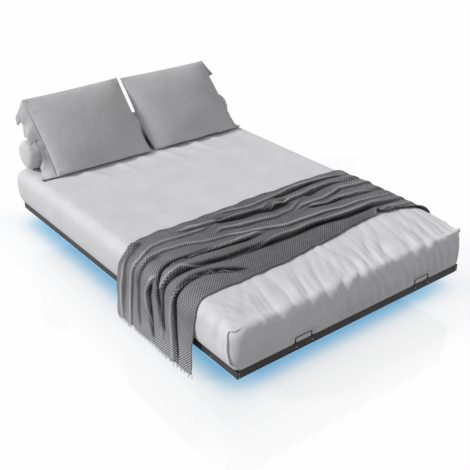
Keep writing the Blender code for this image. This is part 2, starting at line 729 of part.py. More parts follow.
def make_light_strips(material):
    """Four runs of light strip stuck under the rim's flanges, each with its soldered leads."""
    half_w, half_l = FRAME_WIDTH / 2, FRAME_LENGTH / 2
    edge = STRIP_WIDTH / 2
    cut = STRIP_CHAMFER
    outline = [(-edge, STRIP_HEIGHT), (-edge, cut), (cut - edge, 0), (edge - cut, 0),
               (edge, cut), (edge, STRIP_HEIGHT)]
    x = half_w - strip_centre_inset()
    y = half_l - strip_centre_inset()
    end_x = half_w - STRIP_CORNER
    end_y = half_l - STRIP_CORNER
    runs = (("left", (-x, -end_y), (-x, end_y), [corner_lead(-1, -1), corner_lead(-1, 1)]),
            ("right", (x, -end_y), (x, FEED_END), [corner_lead(1, -1), feed_lead()]),
            ("foot", (-end_x, -y), (end_x, -y), []), ("head", (-end_x, y), (end_x, y), []))
    for name, start, end, leads in runs:
        origin = Vector((*start, STRIP_BOTTOM))
        along = Vector((*end, STRIP_BOTTOM)) - origin
        across = Vector((0, 0, 1)).cross(along).normalized()
        mesh_data = bmesh.new()
        prism(mesh_data, outline, origin, across, Vector((0, 0, 1)), along)
        strip = add_object("light_strip_" + name, mesh_data, material)
        if leads:
            wires = bmesh.new()
            for path in leads:
                tube(wires, path, LEAD_RADIUS, 6)
            add_cutter("light_leads_" + name, wires, [strip], "UNION")


# Light controller under the right rail, near the head

def case_face():
    """Outer face of the controller, where its buttons are."""
    return FRAME_WIDTH / 2 - CASE_INSET


def case_middle():
    """Middle of the controller across the bed."""
    return case_face() - CASE_WIDTH / 2


def case_top():
    """Top of the controller, against the rail's flange."""
    return FLOOR_TO_RIM - SEAT


def case_bottom():
    """Lower rim of the controller's case, where its cover begins."""
    return case_top() - CASE_HEIGHT


def case_axis_height():
    """Height of the buttons, the inlet and the lead."""
    return case_top() - CASE_HEIGHT / 2


def rounded_plan(inset, corner, height):
    """Plan of the controller, set in from its outside, with rounded corners."""
    low_x, high_x = case_face() - CASE_WIDTH + inset, case_face() - inset
    low_y, high_y = CASE_START + inset, CASE_START + CASE_LENGTH - inset
    quarter = math.pi / 2
    corners = (((high_x - corner, low_y + corner), -quarter), ((high_x - corner, high_y - corner), 0),
               ((low_x + corner, high_y - corner), quarter), ((low_x + corner, low_y + corner), math.pi))
    ring = []
    for centre, start in corners:
        for x, y in arc(centre, corner, start, start + quarter, 2):
            ring.append(Vector((x, y, height)))
    return ring


def make_controller_case(material):
    """Moulded case open below, with holes for three buttons, the inlet and the lead."""
    mesh_data = bmesh.new()
    inner_corner = CASE_CORNER - CASE_WALL
    loft(mesh_data, [rounded_plan(CASE_WALL, inner_corner, case_top() - CASE_WALL),
                     rounded_plan(CASE_WALL, inner_corner, case_bottom()),
                     rounded_plan(0, CASE_CORNER, case_bottom()),
                     rounded_plan(0, CASE_CORNER, case_top() - CASE_WALL / 2),
                     rounded_plan(CASE_WALL / 2, CASE_CORNER - CASE_WALL / 2, case_top())])
    case = add_object("controller_case", mesh_data, material)
    holes = bmesh.new()
    reach = CASE_WALL + CUT_OVERRUN
    for _, y in button_places():
        turn(holes, [(BUTTON_RADIUS + BUTTON_PLAY, -reach), (BUTTON_RADIUS + BUTTON_PLAY, CUT_OVERRUN)],
             (case_face(), y, case_axis_height()), (1, 0, 0), 10)
    end = CASE_START + CASE_LENGTH
    turn(holes, [(INLET_BODY + SEAT, -reach), (INLET_BODY + SEAT, CUT_OVERRUN)],
         (case_middle(), end, case_axis_height()), (0, 1, 0), 12)
    turn(holes, [(LEAD_RADIUS + 2 * SEAT, -CUT_OVERRUN), (LEAD_RADIUS + 2 * SEAT, reach)],
         (case_middle(), CASE_START, case_axis_height()), (0, 1, 0), 6)
    add_cutter("controller_case_holes", holes, [case])


def make_controller_cover(material):
    """Lower cover of the controller, with a raised lip that locates it inside the case."""
    mesh_data = bmesh.new()
    top = case_bottom() - SEAT
    lip_out = CASE_WALL + SEAT
    lip_in = lip_out + LIP_WALL
    corner = CASE_CORNER - CASE_WALL
    loft(mesh_data, [rounded_plan(CASE_WALL / 2, CASE_CORNER - CASE_WALL / 2, top - CASE_WALL),
                     rounded_plan(0, CASE_CORNER, top - CASE_WALL / 2),
                     rounded_plan(0, CASE_CORNER, top),
                     rounded_plan(lip_out, corner, top),
                     rounded_plan(lip_out, corner, top + LIP_HEIGHT),
                     rounded_plan(lip_in, corner / 2, top + LIP_HEIGHT),
                     rounded_plan(lip_in, corner / 2, top)])
    add_object("controller_cover", mesh_data, material)


def board_height():
    """Underside of the circuit board, on the lip of the cover."""
    return case_bottom() + LIP_HEIGHT


def switch_face():
    """Face of the switches that the button stems press."""
    stem_end = CASE_WALL + SEAT + BUTTON_COLLAR_WALL + BUTTON_STEM_LENGTH
    return case_face() - stem_end - BUTTON_TRAVEL - SEAT


def make_controller_board(material):
    """Circuit board with one small switch block behind each button."""
    mesh_data = bmesh.new()
    margin = CASE_WALL + BOARD_MARGIN
    corner = CASE_CORNER - CASE_WALL
    low = board_height()
    loft(mesh_data, [rounded_plan(margin, corner, low), rounded_plan(margin, corner, low + BOARD_WALL)])
    board = add_object("controller_board", mesh_data, material)
    face = switch_face()
    switches = bmesh.new()
    for _, y in button_places():
        box(switches, (face - SWITCH_DEPTH, y - SWITCH_SIDE, low + BOARD_WALL / 2),
            (face, y + SWITCH_SIDE, case_axis_height() + SWITCH_SIDE))
    add_cutter("board_switches", switches, [board], "UNION")


def button_places():
    """Name and place along the bed of each push button."""
    middle = CASE_START + CASE_LENGTH / 2
    return (("power", middle - BUTTON_PITCH), ("colour", middle), ("mode", middle + BUTTON_PITCH))


def make_buttons(material):
    """Three push buttons, held in the case by their collars; each slides inwards on its axis."""
    collar_face = -CASE_WALL - SEAT
    collar_back = collar_face - BUTTON_COLLAR_WALL
    profile = [(BUTTON_STEM, collar_back - BUTTON_STEM_LENGTH), (BUTTON_STEM, collar_back),
               (BUTTON_COLLAR, collar_back), (BUTTON_COLLAR, collar_face),
               (BUTTON_RADIUS, collar_face), (BUTTON_RADIUS, BUTTON_PROUD - BUTTON_EDGE),
               (BUTTON_RADIUS - BUTTON_EDGE, BUTTON_PROUD)]
    for name, y in button_places():
        mesh_data = bmesh.new()
        turn(mesh_data, profile, (0, 0, 0), (1, 0, 0), 10)
        button = add_object("button_" + name, mesh_data, material)
        button.location = (case_face(), y, case_axis_height())


def make_power_inlet(material):
    """Barrel socket in the end of the controller, with its contact pin in the bore."""
    mesh_data = bmesh.new()
    profile = [(INLET_BODY, SEAT - INLET_LENGTH), (INLET_BODY, SEAT), (INLET_FLANGE, SEAT),
               (INLET_FLANGE, SEAT + INLET_FLANGE_WALL), (INLET_BORE, SEAT + INLET_FLANGE_WALL),
               (INLET_BORE, -INLET_DEPTH), (INLET_PIN, -INLET_DEPTH), (INLET_PIN, -INLET_PIN_RECESS)]
    turn(mesh_data, profile, (case_middle(), CASE_START + CASE_LENGTH, case_axis_height()),
         (0, 1, 0), 12)
    add_object("power_inlet", mesh_data, material)


# Mattress and sheet

def bedding_ring(level, depth, tuck=0):
    """One ring round the bedding at a level, set in from the sheet's outside by depth."""
    height_share, bulge_share, edge_share = BEDDING_LEVEL_SHARES[level]
    z = SHEET_BOTTOM + depth + height_share * (BEDDING_HEIGHT - 2 * depth)
    grow_x = BEDDING_BULGE_SIDE * bulge_share - BEDDING_EDGE * edge_share - depth - tuck
    grow_y = BEDDING_BULGE_END * bulge_share - BEDDING_EDGE * edge_share - depth - tuck
    centre_x = SHEET_LOWER_WIDTH / 2 - BEDDING_CORNER
    centre_y = SHEET_LOWER_LENGTH / 2 - BEDDING_CORNER
    ring = []
    for quarter, (sx, sy) in enumerate(((1, 1), (-1, 1), (-1, -1), (1, -1))):
        for i in range(BEDDING_CORNER_STEPS + 1):
            angle = math.pi / 2 * (quarter + i / BEDDING_CORNER_STEPS)
            ring.append(Vector((sx * centre_x + (BEDDING_CORNER + grow_x) * math.cos(angle),
                                sy * centre_y + (BEDDING_CORNER + grow_y) * math.sin(angle), z)))
    return ring


def make_mattress(material):
    """Mattress with soft edges and a drawn-in lower side, inside its sheet."""
    depth = SHEET_WALL + SEAT
    mesh_data = bmesh.new()
    loft(mesh_data, [bedding_ring(level, depth) for level in range(len(BEDDING_LEVEL_SHARES))])
    add_object("mattress", mesh_data, material)


def make_sheet(material):
    """Sheet over the mattress, with its lower edge tucked under all round."""
    levels = range(len(BEDDING_LEVEL_SHARES))
    inner = [bedding_ring(level, SHEET_WALL) for level in reversed(levels)]
    outer = [bedding_ring(level, 0) for level in levels]
    tuck = [bedding_ring(0, SHEET_WALL, SHEET_TUCK - SHEET_WALL), bedding_ring(0, 0, SHEET_TUCK)]
    mesh_data = bmesh.new()
    loft(mesh_data, inner + tuck + outer)
    add_object("bed_sheet", mesh_data, material)


# Bolster and pillows

def bolster_centre_height():
    """Height of the bolster's axis, a little low because its underside is pressed flat."""
    return REST_TOP + BOLSTER_RADIUS - BOLSTER_FLAT


def make_bolster(material):
    """One long roll with domed ends, flat where it lies on the bed."""
    rings = []
    for run_share, radius_share in BOLSTER_STATION_SHARES:
        ring = []
        for i in range(BOLSTER_SIDES):
            angle = math.tau * (i + 0.5) / BOLSTER_SIDES
            radius = BOLSTER_RADIUS * radius_share
            y = BOLSTER_CENTRE + radius * math.cos(angle)
            z = max(bolster_centre_height() + radius * math.sin(angle), REST_TOP)
            ring.append(Vector((run_share * BOLSTER_LENGTH / 2, y, z)))
        rings.append(ring)
    mesh_data = bmesh.new()
    loft(mesh_data, rings)
    add_object("bolster", mesh_data, material)


def keep_clear(point, gap):
    """Press a point of a pillow out of the bolster, square to the pillow, and off the bed."""
    slope = Vector((0, math.sin(PILLOW_LEAN), math.cos(PILLOW_LEAN)))
    normal = Vector((0, -slope.z, slope.y))
    offset = point - Vector((point.x, BOLSTER_CENTRE, bolster_centre_height()))
    least = BOLSTER_RADIUS + PILLOW_TOUCH + gap
    along = offset.dot(slope)
    if abs(along) < least:
        lift = math.sqrt(least ** 2 - along ** 2) - offset.dot(normal)
        point = point + normal * max(lift, 0)
    point.z = max(point.z, REST_TOP + gap)
    return point


def pillow_point(centre, front, across, slope, depth, mouth=0):
    """A point of a pillow: across and slope run from -1 to 1, depth is below the case's outside."""
    half_w = PILLOW_WIDTH / 2 - depth
    half_l = PILLOW_LENGTH / 2 - depth
    x = across * half_w * (1 - PILLOW_PULL_SIDE * (1 - slope ** 2))
    s = slope * half_l * (1 - PILLOW_PULL_END * (1 - across ** 2))
    power = PILLOW_EDGE_POWER
    swell = ((1 - across ** power) * (1 - slope ** power)) ** PILLOW_SWELL_POWER
    loft_height = (PILLOW_FRONT if front else PILLOW_BACK) * swell + PILLOW_SEAM - depth
    if mouth:
        x += math.copysign(mouth * MOUTH_LENGTH, across)
        flat = CASE_CLOTH + CASE_SLIT - depth
        loft_height += (flat - loft_height) * mouth ** 0.5
    up = s + half_l + depth
    lean_y, lean_z = math.sin(PILLOW_LEAN), math.cos(PILLOW_LEAN)
    normal = loft_height if front else -loft_height
    y = PILLOW_FOOT + up * lean_y - normal * lean_z + mouth ** 2 * MOUTH_DROP * lean_z
    z = REST_TOP + up * lean_z + normal * lean_y - mouth ** 2 * MOUTH_DROP * lean_y
    x += centre + PILLOW_SHIFT * (slope + 1) / 2
    pinch = 2 * (PILLOW_SEAM if not mouth else CASE_CLOTH + CASE_SLIT)
    gap = pinch - depth if front else depth
    return keep_clear(Vector((x, y, z)), gap)


def two_sided(mesh_data, front, back, open_side=None):
    """Skin two grids of equal size into a closed body and return its corner columns by side."""
    fronts = [[mesh_data.verts.new(point) for point in row] for row in front]
    backs = [[mesh_data.verts.new(point) for point in row] for row in back]
    rows, columns = len(fronts), len(fronts[0])
    for grid in (fronts, backs):
        for i in range(rows - 1):
            for j in range(columns - 1):
                mesh_data.faces.new((grid[i][j], grid[i + 1][j], grid[i + 1][j + 1]))
                mesh_data.faces.new((grid[i][j], grid[i + 1][j + 1], grid[i][j + 1]))
    front_edges = {"low": fronts[0], "high": fronts[-1],
                   "start": [row[0] for row in fronts], "end": [row[-1] for row in fronts]}
    back_edges = {"low": backs[0], "high": backs[-1],
                  "start": [row[0] for row in backs], "end": [row[-1] for row in backs]}
    for side in front_edges:
        if side == open_side:
            continue
        a, b = front_edges[side], back_edges[side]
        for i in range(len(a) - 1):
            mesh_data.faces.new((a[i], a[i + 1], b[i + 1], b[i]))
    return front_edges, back_edges


def pillow_grids(centre, side, depth, with_mouth):
    """Front and back grids of a pillow layer; rows run across, from its inner to its mouth end."""
    grids = []
    for front in (True, False):
        rows = []
        for share in PILLOW_SHARES:
            rows.append([pillow_point(centre, front, side * share, slope, depth)
                         for slope in SLOPE_SHARES])
        if with_mouth:
            for mouth in MOUTH_SHARES:
                rows.append([pillow_point(centre, front, side, slope, depth, mouth)
                             for slope in SLOPE_SHARES])
        grids.append(rows)
    return grids


def make_pillow(name, centre, side, cover_material, fill_material):
    """A pillow and its case; the case runs past the pillow at its open end."""
    insert = bmesh.new()
    front, back = pillow_grids(centre, side, CASE_CLOTH + PILLOW_TOUCH, False)
    two_sided(insert, front, back)
    add_object("pillow_" + name, insert, fill_material)
    case = bmesh.new()
    outer = two_sided(case, *pillow_grids(centre, side, 0, True), open_side="high")
    inner = two_sided(case, *pillow_grids(centre, side, CASE_CLOTH, True), open_side="high")
    for outside, inside in zip(outer, inner):
        a, b = outside["high"], inside["high"]
        for i in range(len(a) - 1):
            case.faces.new((a[i], a[i + 1], b[i + 1], b[i]))
    for end in (0, -1):
        case.faces.new((outer[0]["high"][end], inner[0]["high"][end],
                        inner[1]["high"][end], outer[1]["high"][end]))
    add_object("pillowcase_" + name, case, cover_material)


# Throw

def bedding_section():
    """Right-hand side of the sheet across the bed: distance from the middle and height."""
    points = []
    for height_share, bulge_share, edge_share in BEDDING_LEVEL_SHARES:
        x = SHEET_LOWER_WIDTH / 2 + BEDDING_BULGE_SIDE * bulge_share - BEDDING_EDGE * edge_share
        points.append(Vector((x, SHEET_BOTTOM + height_share * BEDDING_HEIGHT)))
    return points


def throw_path():
    """Points under the throw from its right hem to its left hem, each with its outward heading."""
    section = bedding_section()
    widest = max(range(len(section)), key=lambda i: section[i].x)
    shoulder = section[widest:]
    path = []
    side_x = section[widest].x
    hem_z = shoulder[0].y - THROW_RIGHT_DROP
    path.append((Vector((side_x, hem_z)), Vector((1, 0))))
    for i, point in enumerate(shoulder):
        before = shoulder[i - 1] if i else Vector((side_x, hem_z))
        after = shoulder[i + 1] if i + 1 < len(shoulder) else Vector((0, point.y))
        edge_in = (point - before).normalized()
        edge_out = (after - point).normalized()
        heading = Vector((edge_in.y + edge_out.y, -edge_in.x - edge_out.x)).normalized()
        stretch = 1 / max(heading.dot(Vector((edge_in.y, -edge_in.x))), THROW_MITRE_LIMIT_SHARE)
        path.append((point, heading * stretch))
    top_x = shoulder[-1].x
    top = [(Vector((top_x * share, BED_TOP)), Vector((0, 1))) for share in THROW_TOP_SHARES]
    left = [(Vector((-point.x, point.y)), Vector((-heading.x, heading.y)))
            for point, heading in reversed(path[1:])]
    fall = shoulder[0].y - THROW_HEM
    hang = [(Vector((-side_x, shoulder[0].y - fall * share)), Vector((-1, 0)))
            for share in THROW_HANG_SHARES]
    return path + top + left + hang


def edge_shares(run_share):
    """Where the throw's two edges lie at a share of its run, as shares of its width."""
    for (s0, h0, f0), (s1, h1, f1) in zip(THROW_EDGE_SHARES, THROW_EDGE_SHARES[1:]):
        if run_share <= s1:
            t = (run_share - s0) / (s1 - s0)
            return h0 + (h1 - h0) * t, f0 + (f1 - f0) * t
    return THROW_EDGE_SHARES[-1][1:]


def fold_height(across_share, run_share):
    """How far the throw stands off what it lies on, in long folds that wander along its run."""
    drift = sum(size * math.sin(math.tau * (turns * run_share + start))
                for size, turns, start in THROW_DRIFT_SHARES)
    wave = math.sin(math.pi * (THROW_FOLDS * across_share + drift))
    mean, swing = THROW_RISE_SHARES
    across_turns, run_turns, start = THROW_RISE_TURN_SHARES
    rise = mean + swing * math.cos(math.tau * (across_turns * across_share + run_turns * run_share + start))
    return THROW_FOLD * wave ** THROW_FOLD_POWER * rise


def make_throw(material):
    """Knitted throw in long folds, lying across the bed and hanging to the floor on the left."""
    path = throw_path()
    lengths = [0]
    for (a, _), (b, _) in zip(path, path[1:]):
        lengths.append(lengths[-1] + (b - a).length)
    under, over = [], []
    for (point, heading), run in zip(path, lengths):
        run_share = run / lengths[-1]
        head_share, foot_share = edge_shares(run_share)
        low_row, high_row = [], []
        for j in range(THROW_COLUMNS + 1):
            across_share = j / THROW_COLUMNS
            y = THROW_HEAD_EDGE - THROW_WIDTH * (head_share + (foot_share - head_share) * across_share)
            rise = THROW_TOUCH + fold_height(across_share, run_share)
            low = point + heading * rise
            high = point + heading * (rise + THROW_WALL)
            low_row.append(Vector((low.x, y, low.y)))
            high_row.append(Vector((high.x, y, high.y)))
        under.append(low_row)
        over.append(high_row)
    mesh_data = bmesh.new()
    two_sided(mesh_data, over, under)
    add_object("throw", mesh_data, material, math.radians(60))


def build_bed():
    """Make every piece of the bed."""
    clear_scene()
    coat = make_material("powder_coat", (0.030, 0.029, 0.029), 0.48, 0.3)
    base_coat = make_material("base_coat", (0.022, 0.022, 0.023), 0.55, 0.3)
    zinc = make_material("zinc", (0.55, 0.55, 0.57), 0.35, 1.0)
    rubber = make_material("rubber", (0.018, 0.018, 0.018), 0.85)
    silicone = make_material("silicone", (0.60, 0.82, 0.95), 0.45)
    case_plastic = make_material("case_plastic", (0.025, 0.025, 0.027), 0.45)
    button_plastic = make_material("button_plastic", (0.42, 0.42, 0.44), 0.40)
    board_resin = make_material("board_resin", (0.02, 0.12, 0.05), 0.50)
    ticking = make_material("ticking", (0.70, 0.70, 0.68), 0.90)
    sheet_cotton = make_material("sheet_cotton", (0.60, 0.60, 0.62), 0.88)
    case_cotton = make_material("case_cotton", (0.46, 0.46, 0.47), 0.88)
    knit = make_material("knit", (0.13, 0.13, 0.14), 0.95)

    half_w, half_l = FRAME_WIDTH / 2, FRAME_LENGTH / 2
    rails = [make_rail("side_rail_left", (-1, 0, 0), half_w, half_l, coat),
             make_rail("side_rail_right", (1, 0, 0), half_w, half_l, coat),
             make_rail("foot_rail", (0, -1, 0), half_l, half_w, coat),
             make_rail("head_rail", (0, 1, 0), half_l, half_w, coat)]
    drill_rails(rails)
    make_corner_brackets(base_coat)
    for name, centre in zip(("left", "right"), LOOP_CENTRES):
        make_retainer_loop("retainer_loop_" + name, centre, coat)
    make_slats(base_coat)
    beams = make_beams(base_coat)
    ties = make_ties(base_coat)
    make_legs(base_coat, ties + beams)
    make_leg_caps(rubber)
    make_light_strips(silicone)
    make_controller_case(case_plastic)
    make_controller_cover(case_plastic)
    make_controller_board(board_resin)
    make_buttons(button_plastic)
    make_power_inlet(zinc)
    make_mattress(ticking)
    make_sheet(sheet_cotton)
    make_bolster(case_cotton)
    for name, centre, side in PILLOW_CENTRES:
        make_pillow(name, centre, side, case_cotton, ticking)
    make_throw(knit)


build_bed()
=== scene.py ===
"""Looks of the floating bed: finishes for its steel frame, and its mattress, sheet, bolster,
pillows and throw as cloth, on a pale floor in soft light. Lengths are in metres."""
import json
import math

import bmesh
import bpy
import numpy as np
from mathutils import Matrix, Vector, noise


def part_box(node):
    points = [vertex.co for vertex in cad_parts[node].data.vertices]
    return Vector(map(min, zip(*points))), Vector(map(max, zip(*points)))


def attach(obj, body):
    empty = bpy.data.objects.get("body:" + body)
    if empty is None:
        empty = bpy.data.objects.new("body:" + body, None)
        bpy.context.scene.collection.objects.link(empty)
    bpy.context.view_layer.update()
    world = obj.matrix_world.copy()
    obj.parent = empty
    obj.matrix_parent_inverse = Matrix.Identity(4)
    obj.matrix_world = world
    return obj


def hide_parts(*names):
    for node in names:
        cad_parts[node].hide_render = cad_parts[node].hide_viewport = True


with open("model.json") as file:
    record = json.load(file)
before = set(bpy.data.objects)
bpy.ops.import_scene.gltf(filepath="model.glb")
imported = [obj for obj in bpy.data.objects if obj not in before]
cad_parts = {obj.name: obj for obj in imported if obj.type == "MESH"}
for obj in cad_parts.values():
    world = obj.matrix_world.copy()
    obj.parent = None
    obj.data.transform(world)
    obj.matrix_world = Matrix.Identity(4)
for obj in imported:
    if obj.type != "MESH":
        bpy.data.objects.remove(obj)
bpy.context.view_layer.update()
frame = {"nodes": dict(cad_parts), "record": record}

BED_BOTTOM, BED_TOP = (corner.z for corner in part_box("bed_sheet"))
RIM_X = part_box("side_rail_right")[1].x
RIM_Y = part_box("head_rail")[1].y

# Half sizes of the bedding's flat top
TOP_X, TOP_Y = 0.656, 0.944
# Section of the bedding from its flat top outwards and down: outward at the side, at the end, height
SECTION = (
    (0.000, 0.000, 0.4237), (0.037, 0.043, 0.4205), (0.061, 0.0665, 0.4080), (0.078, 0.0785, 0.3860),
    (0.084, 0.0842, 0.3577), (0.0845, 0.0862, 0.3176), (0.0820, 0.0835, 0.2776), (0.0770, 0.0775, 0.2493),
    (0.0680, 0.0725, 0.2281), (0.0600, 0.0705, 0.2150), (0.0560, 0.0695, 0.2085), (0.0520, 0.0665, 0.2060),
    (0.0485, 0.0630, 0.2035), (0.0465, 0.0610, 0.1985), (0.0430, 0.0570, 0.1935), (0.0360, 0.0500, 0.1900),
)
# Radius of the bedding's upright corners at distances down that section, and each corner's share of it:
# right foot, right head, left head, left foot
CORNER_RADII = ((0.00, 0.030), (0.08, 0.040), (0.18, 0.044), (0.27, 0.036), (0.33, 0.016))
CORNER_SHARES = (0.9, 1.0, 1.0, 1.45)


# Colours and nodes

def srgb(code):
    """Linear red, green, blue and alpha of a hex colour such as 8A8789."""
    values = [int(code[i:i + 2], 16) / 255 for i in (0, 2, 4)]
    linear = [v / 12.92 if v <= 0.04045 else ((v + 0.055) / 1.055) ** 2.4 for v in values]
    return (*linear, 1.0)


def fill(node, inputs):
    """Set a node's inputs to numbers, or link sockets to them; they come in order or by name."""
    for key, value in inputs.items() if isinstance(inputs, dict) else enumerate(inputs):
        if isinstance(value, bpy.types.NodeSocket):
            node.id_data.links.new(value, node.inputs[key])
        else:
            node.inputs[key].default_value = value


def add_node(owner, kind, inputs=(), output=0, stops=(), **settings):
    """Add a node with its inputs and its own settings, and return one of its outputs.

    Stops are the positions and hex colours along a colour ramp."""
    made = owner.node_tree.nodes.new("ShaderNode" + kind)
    for name, value in settings.items():
        setattr(made, name, value)
    if stops:
        elements = made.color_ramp.elements
        while len(elements) < len(stops):
            elements.new(0.5)
        for element, (position, code) in zip(elements, stops):
            element.position = position
            element.color = srgb(code)
    fill(made, inputs)
    return made.outputs[output]


def new_material(name, **shader_values):
    """A material with one Principled shader and the given constants on its sockets."""
    material = bpy.data.materials.new(name)
    material.use_nodes = True
    shader = material.node_tree.nodes["Principled BSDF"]
    fill(shader, {key.replace("_", " "): value for key, value in shader_values.items()})
    return material, shader


# Meshes

def mesh_object(name, points, faces, material):
    """A smooth-shaded mesh piece that rides on the bed."""
    mesh = bpy.data.meshes.new(name)
    mesh.from_pydata([tuple(p) for p in points], [], [tuple(f) for f in faces])
    mesh.update()
    mesh.shade_smooth()
    mesh.materials.append(material)
    piece = bpy.data.objects.new(name, mesh)
    bpy.context.scene.collection.objects.link(piece)
    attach(piece, "bed")
    return piece


def thicken(piece, thickness, offset=-1.0):
    """Give a single layer of cloth its thickness, inwards unless the offset is 1."""
    bpy.ops.object.select_all(action="DESELECT")
    piece.select_set(True)
    bpy.context.view_layer.objects.active = piece
    modifier = piece.modifiers.new("SOLIDIFY", "SOLIDIFY")
    modifier.thickness, modifier.offset = thickness, offset
    bpy.ops.object.modifier_apply(modifier=modifier.name)


def turn_outwards(piece, centre=None):
    """Recalculate a piece's normals; those of an open piece turn away from the given centre."""
    mesh = bmesh.new()
    mesh.from_mesh(piece.data)
    bmesh.ops.recalc_face_normals(mesh, faces=mesh.faces)
    if centre is not None:
        outwards = sum((face.calc_center_median() - centre).dot(face.normal) for face in mesh.faces)
        if outwards < 0:
            bmesh.ops.reverse_faces(mesh, faces=mesh.faces)
    mesh.to_mesh(piece.data)
    mesh.free()


def set_cloth_places(piece, flat, fold):
    """Write each vertex's place on the flat cloth, in metres, and its tone, which paints a highlight on
    crests and shade in valleys.
    """
    layer = piece.data.uv_layers.new(name="Cloth")
    index = np.zeros(len(piece.data.loops), np.int32)
    piece.data.loops.foreach_get("vertex_index", index)
    layer.data.foreach_set("uv", np.asarray(flat, np.float32)[index].ravel())
    attribute = piece.data.attributes.new("PaintedShadeAndTone", "FLOAT", "POINT")
    attribute.data.foreach_set("value", np.asarray(fold, np.float32))


def grid_faces(index, flip=False):
    """Four-sided faces between neighbours in a grid of vertex numbers."""
    corners = np.stack([index[:-1, :-1], index[1:, :-1], index[1:, 1:], index[:-1, 1:]], -1)
    corners = corners.reshape(-1, 4)
    return (corners[:, [0, 3, 2, 1]] if flip else corners).tolist()


def ring_faces(rings):
    """Four-sided faces between closed rings of vertex numbers, each joined to the next."""
    return [face for upper, lower in zip(rings, rings[1:])
            for face in np.stack([upper, lower, np.roll(lower, -1), np.roll(upper, -1)], -1).tolist()]


def unit(vectors):
    """Vectors of length 1 in the same directions."""
    return vectors / (np.linalg.norm(vectors, axis=1)[:, None] + 1e-12)


def displaced(points, faces, rise):
    """Points moved along the surface's own normals."""
    corners = np.array(faces)
    a, b, c, d = (points[corners[:, k]] for k in range(4))
    face_normals = np.cross(c - a, d - b)
    normals = np.zeros_like(points)
    for k in range(4):
        np.add.at(normals, corners[:, k], face_normals)
    return points + unit(normals) * np.asarray(rise)[:, None]


# Curves and noise

def through(points, count):
    """Points at even distances on a smooth curve through the given points, and its length."""
    knots = np.asarray(points, float)
    padded = np.vstack([2 * knots[0] - knots[1], knots, 2 * knots[-1] - knots[-2]])
    fine = []
    for i in range(len(knots) - 1):
        p0, p1, p2, p3 = padded[i:i + 4]
        for t in np.linspace(0, 1, 24, endpoint=False):
            fine.append(0.5 * (2 * p1 + (p2 - p0) * t + (2 * p0 - 5 * p1 + 4 * p2 - p3) * t ** 2
                               + (3 * p1 - p0 - 3 * p2 + p3) * t ** 3))
    fine = np.array(fine + [knots[-1]])
    along = run_along(fine)
    wanted = np.linspace(0, along[-1], count)
    return np.stack([np.interp(wanted, along, column) for column in fine.T], -1), along[-1]


def run_along(line):
    """Distance along a line at each of its points."""
    return np.concatenate([[0], np.cumsum(np.linalg.norm(np.diff(line, axis=0), axis=1))])


def look_up(value, table):
    """Read a table of pairs at the given values."""
    return np.interp(value, *np.array(table).T)


def smooth_step(value, low, high):
    """0 below low, 1 above high, and an even rise between."""
    t = np.clip((value - low) / (high - low), 0, 1)
    return t * t * (3 - 2 * t)


def plateau(value, start, full, fading, end):
    """0 before start and after end, 1 from full to fading, and even slopes between."""
    return smooth_step(value, start, full) * (1 - smooth_step(value, fading, end))


def hill(value, centre, width):
    """A round rise: 1 at the centre, a third at its width to either side, and soon 0."""
    return np.exp(-((value - centre) / width) ** 2)


def soft_noise(u, v, seed):
    """Smooth noise from -1 to 1 on a plane whose grid step is 1, the same in every run."""
    table = np.random.RandomState(seed).uniform(-1, 1, (64, 64))
    u, v = np.broadcast_arrays(np.asarray(u, float), np.asarray(v, float))
    low_u, low_v = np.floor(u).astype(int), np.floor(v).astype(int)
    share_u, share_v = smooth_step(u - low_u, 0, 1), smooth_step(v - low_v, 0, 1)
    corners = [[table[(low_u + a) % 64, (low_v + b) % 64] for b in (0, 1)] for a in (0, 1)]
    near = corners[0][0] * (1 - share_u) + corners[1][0] * share_u
    far = corners[0][1] * (1 - share_u) + corners[1][1] * share_u
    return near * (1 - share_v) + far * share_v


def space_noise(x, y, z):
    """Blender's own noise at arrays of places in space."""
    return np.vectorize(lambda *place: noise.noise(Vector(place)))(x, y, z)


def to_lines(points, lines):
    """From each point to each traced line: signed distance, and the share of the way along it."""
    found = []
    for line in lines:
        steps = np.diff(line, axis=0)
        along = run_along(line)
        best = np.full(len(points), 1e9)
        share = np.zeros(len(points))
        side = np.ones(len(points))
        for start, step, before, after in zip(line, steps, along, along[1:]):
            t = np.clip(((points - start) @ step) / (after - before) ** 2, 0, 1)
            away = points - start - t[:, None] * step
            gap = np.linalg.norm(away, axis=1)
            nearer = gap < best
            best = np.where(nearer, gap, best)
            share = np.where(nearer, (before + t * (after - before)) / along[-1], share)
            side = np.where(nearer, np.where(away[:, 1] < 0, -1.0, 1.0), side)
        found.append((best * side, share))
    return found


# Steel, plastic and rubber

def outside(material, half_x, half_y):
    """1 where a place is further out than half_x to a side or half_y to an end, 0 within."""
    place = add_node(material, "TexCoord", output="Object")
    tests = []
    for axis, half in (("X", half_x), ("Y", half_y)):
        part = add_node(material, "SeparateXYZ", [place], output=axis)
        size = add_node(material, "Math", [part], operation="ABSOLUTE")
        tests.append(add_node(material, "Math", [size, half], operation="GREATER_THAN"))
    return add_node(material, "Math", tests, operation="MAXIMUM")


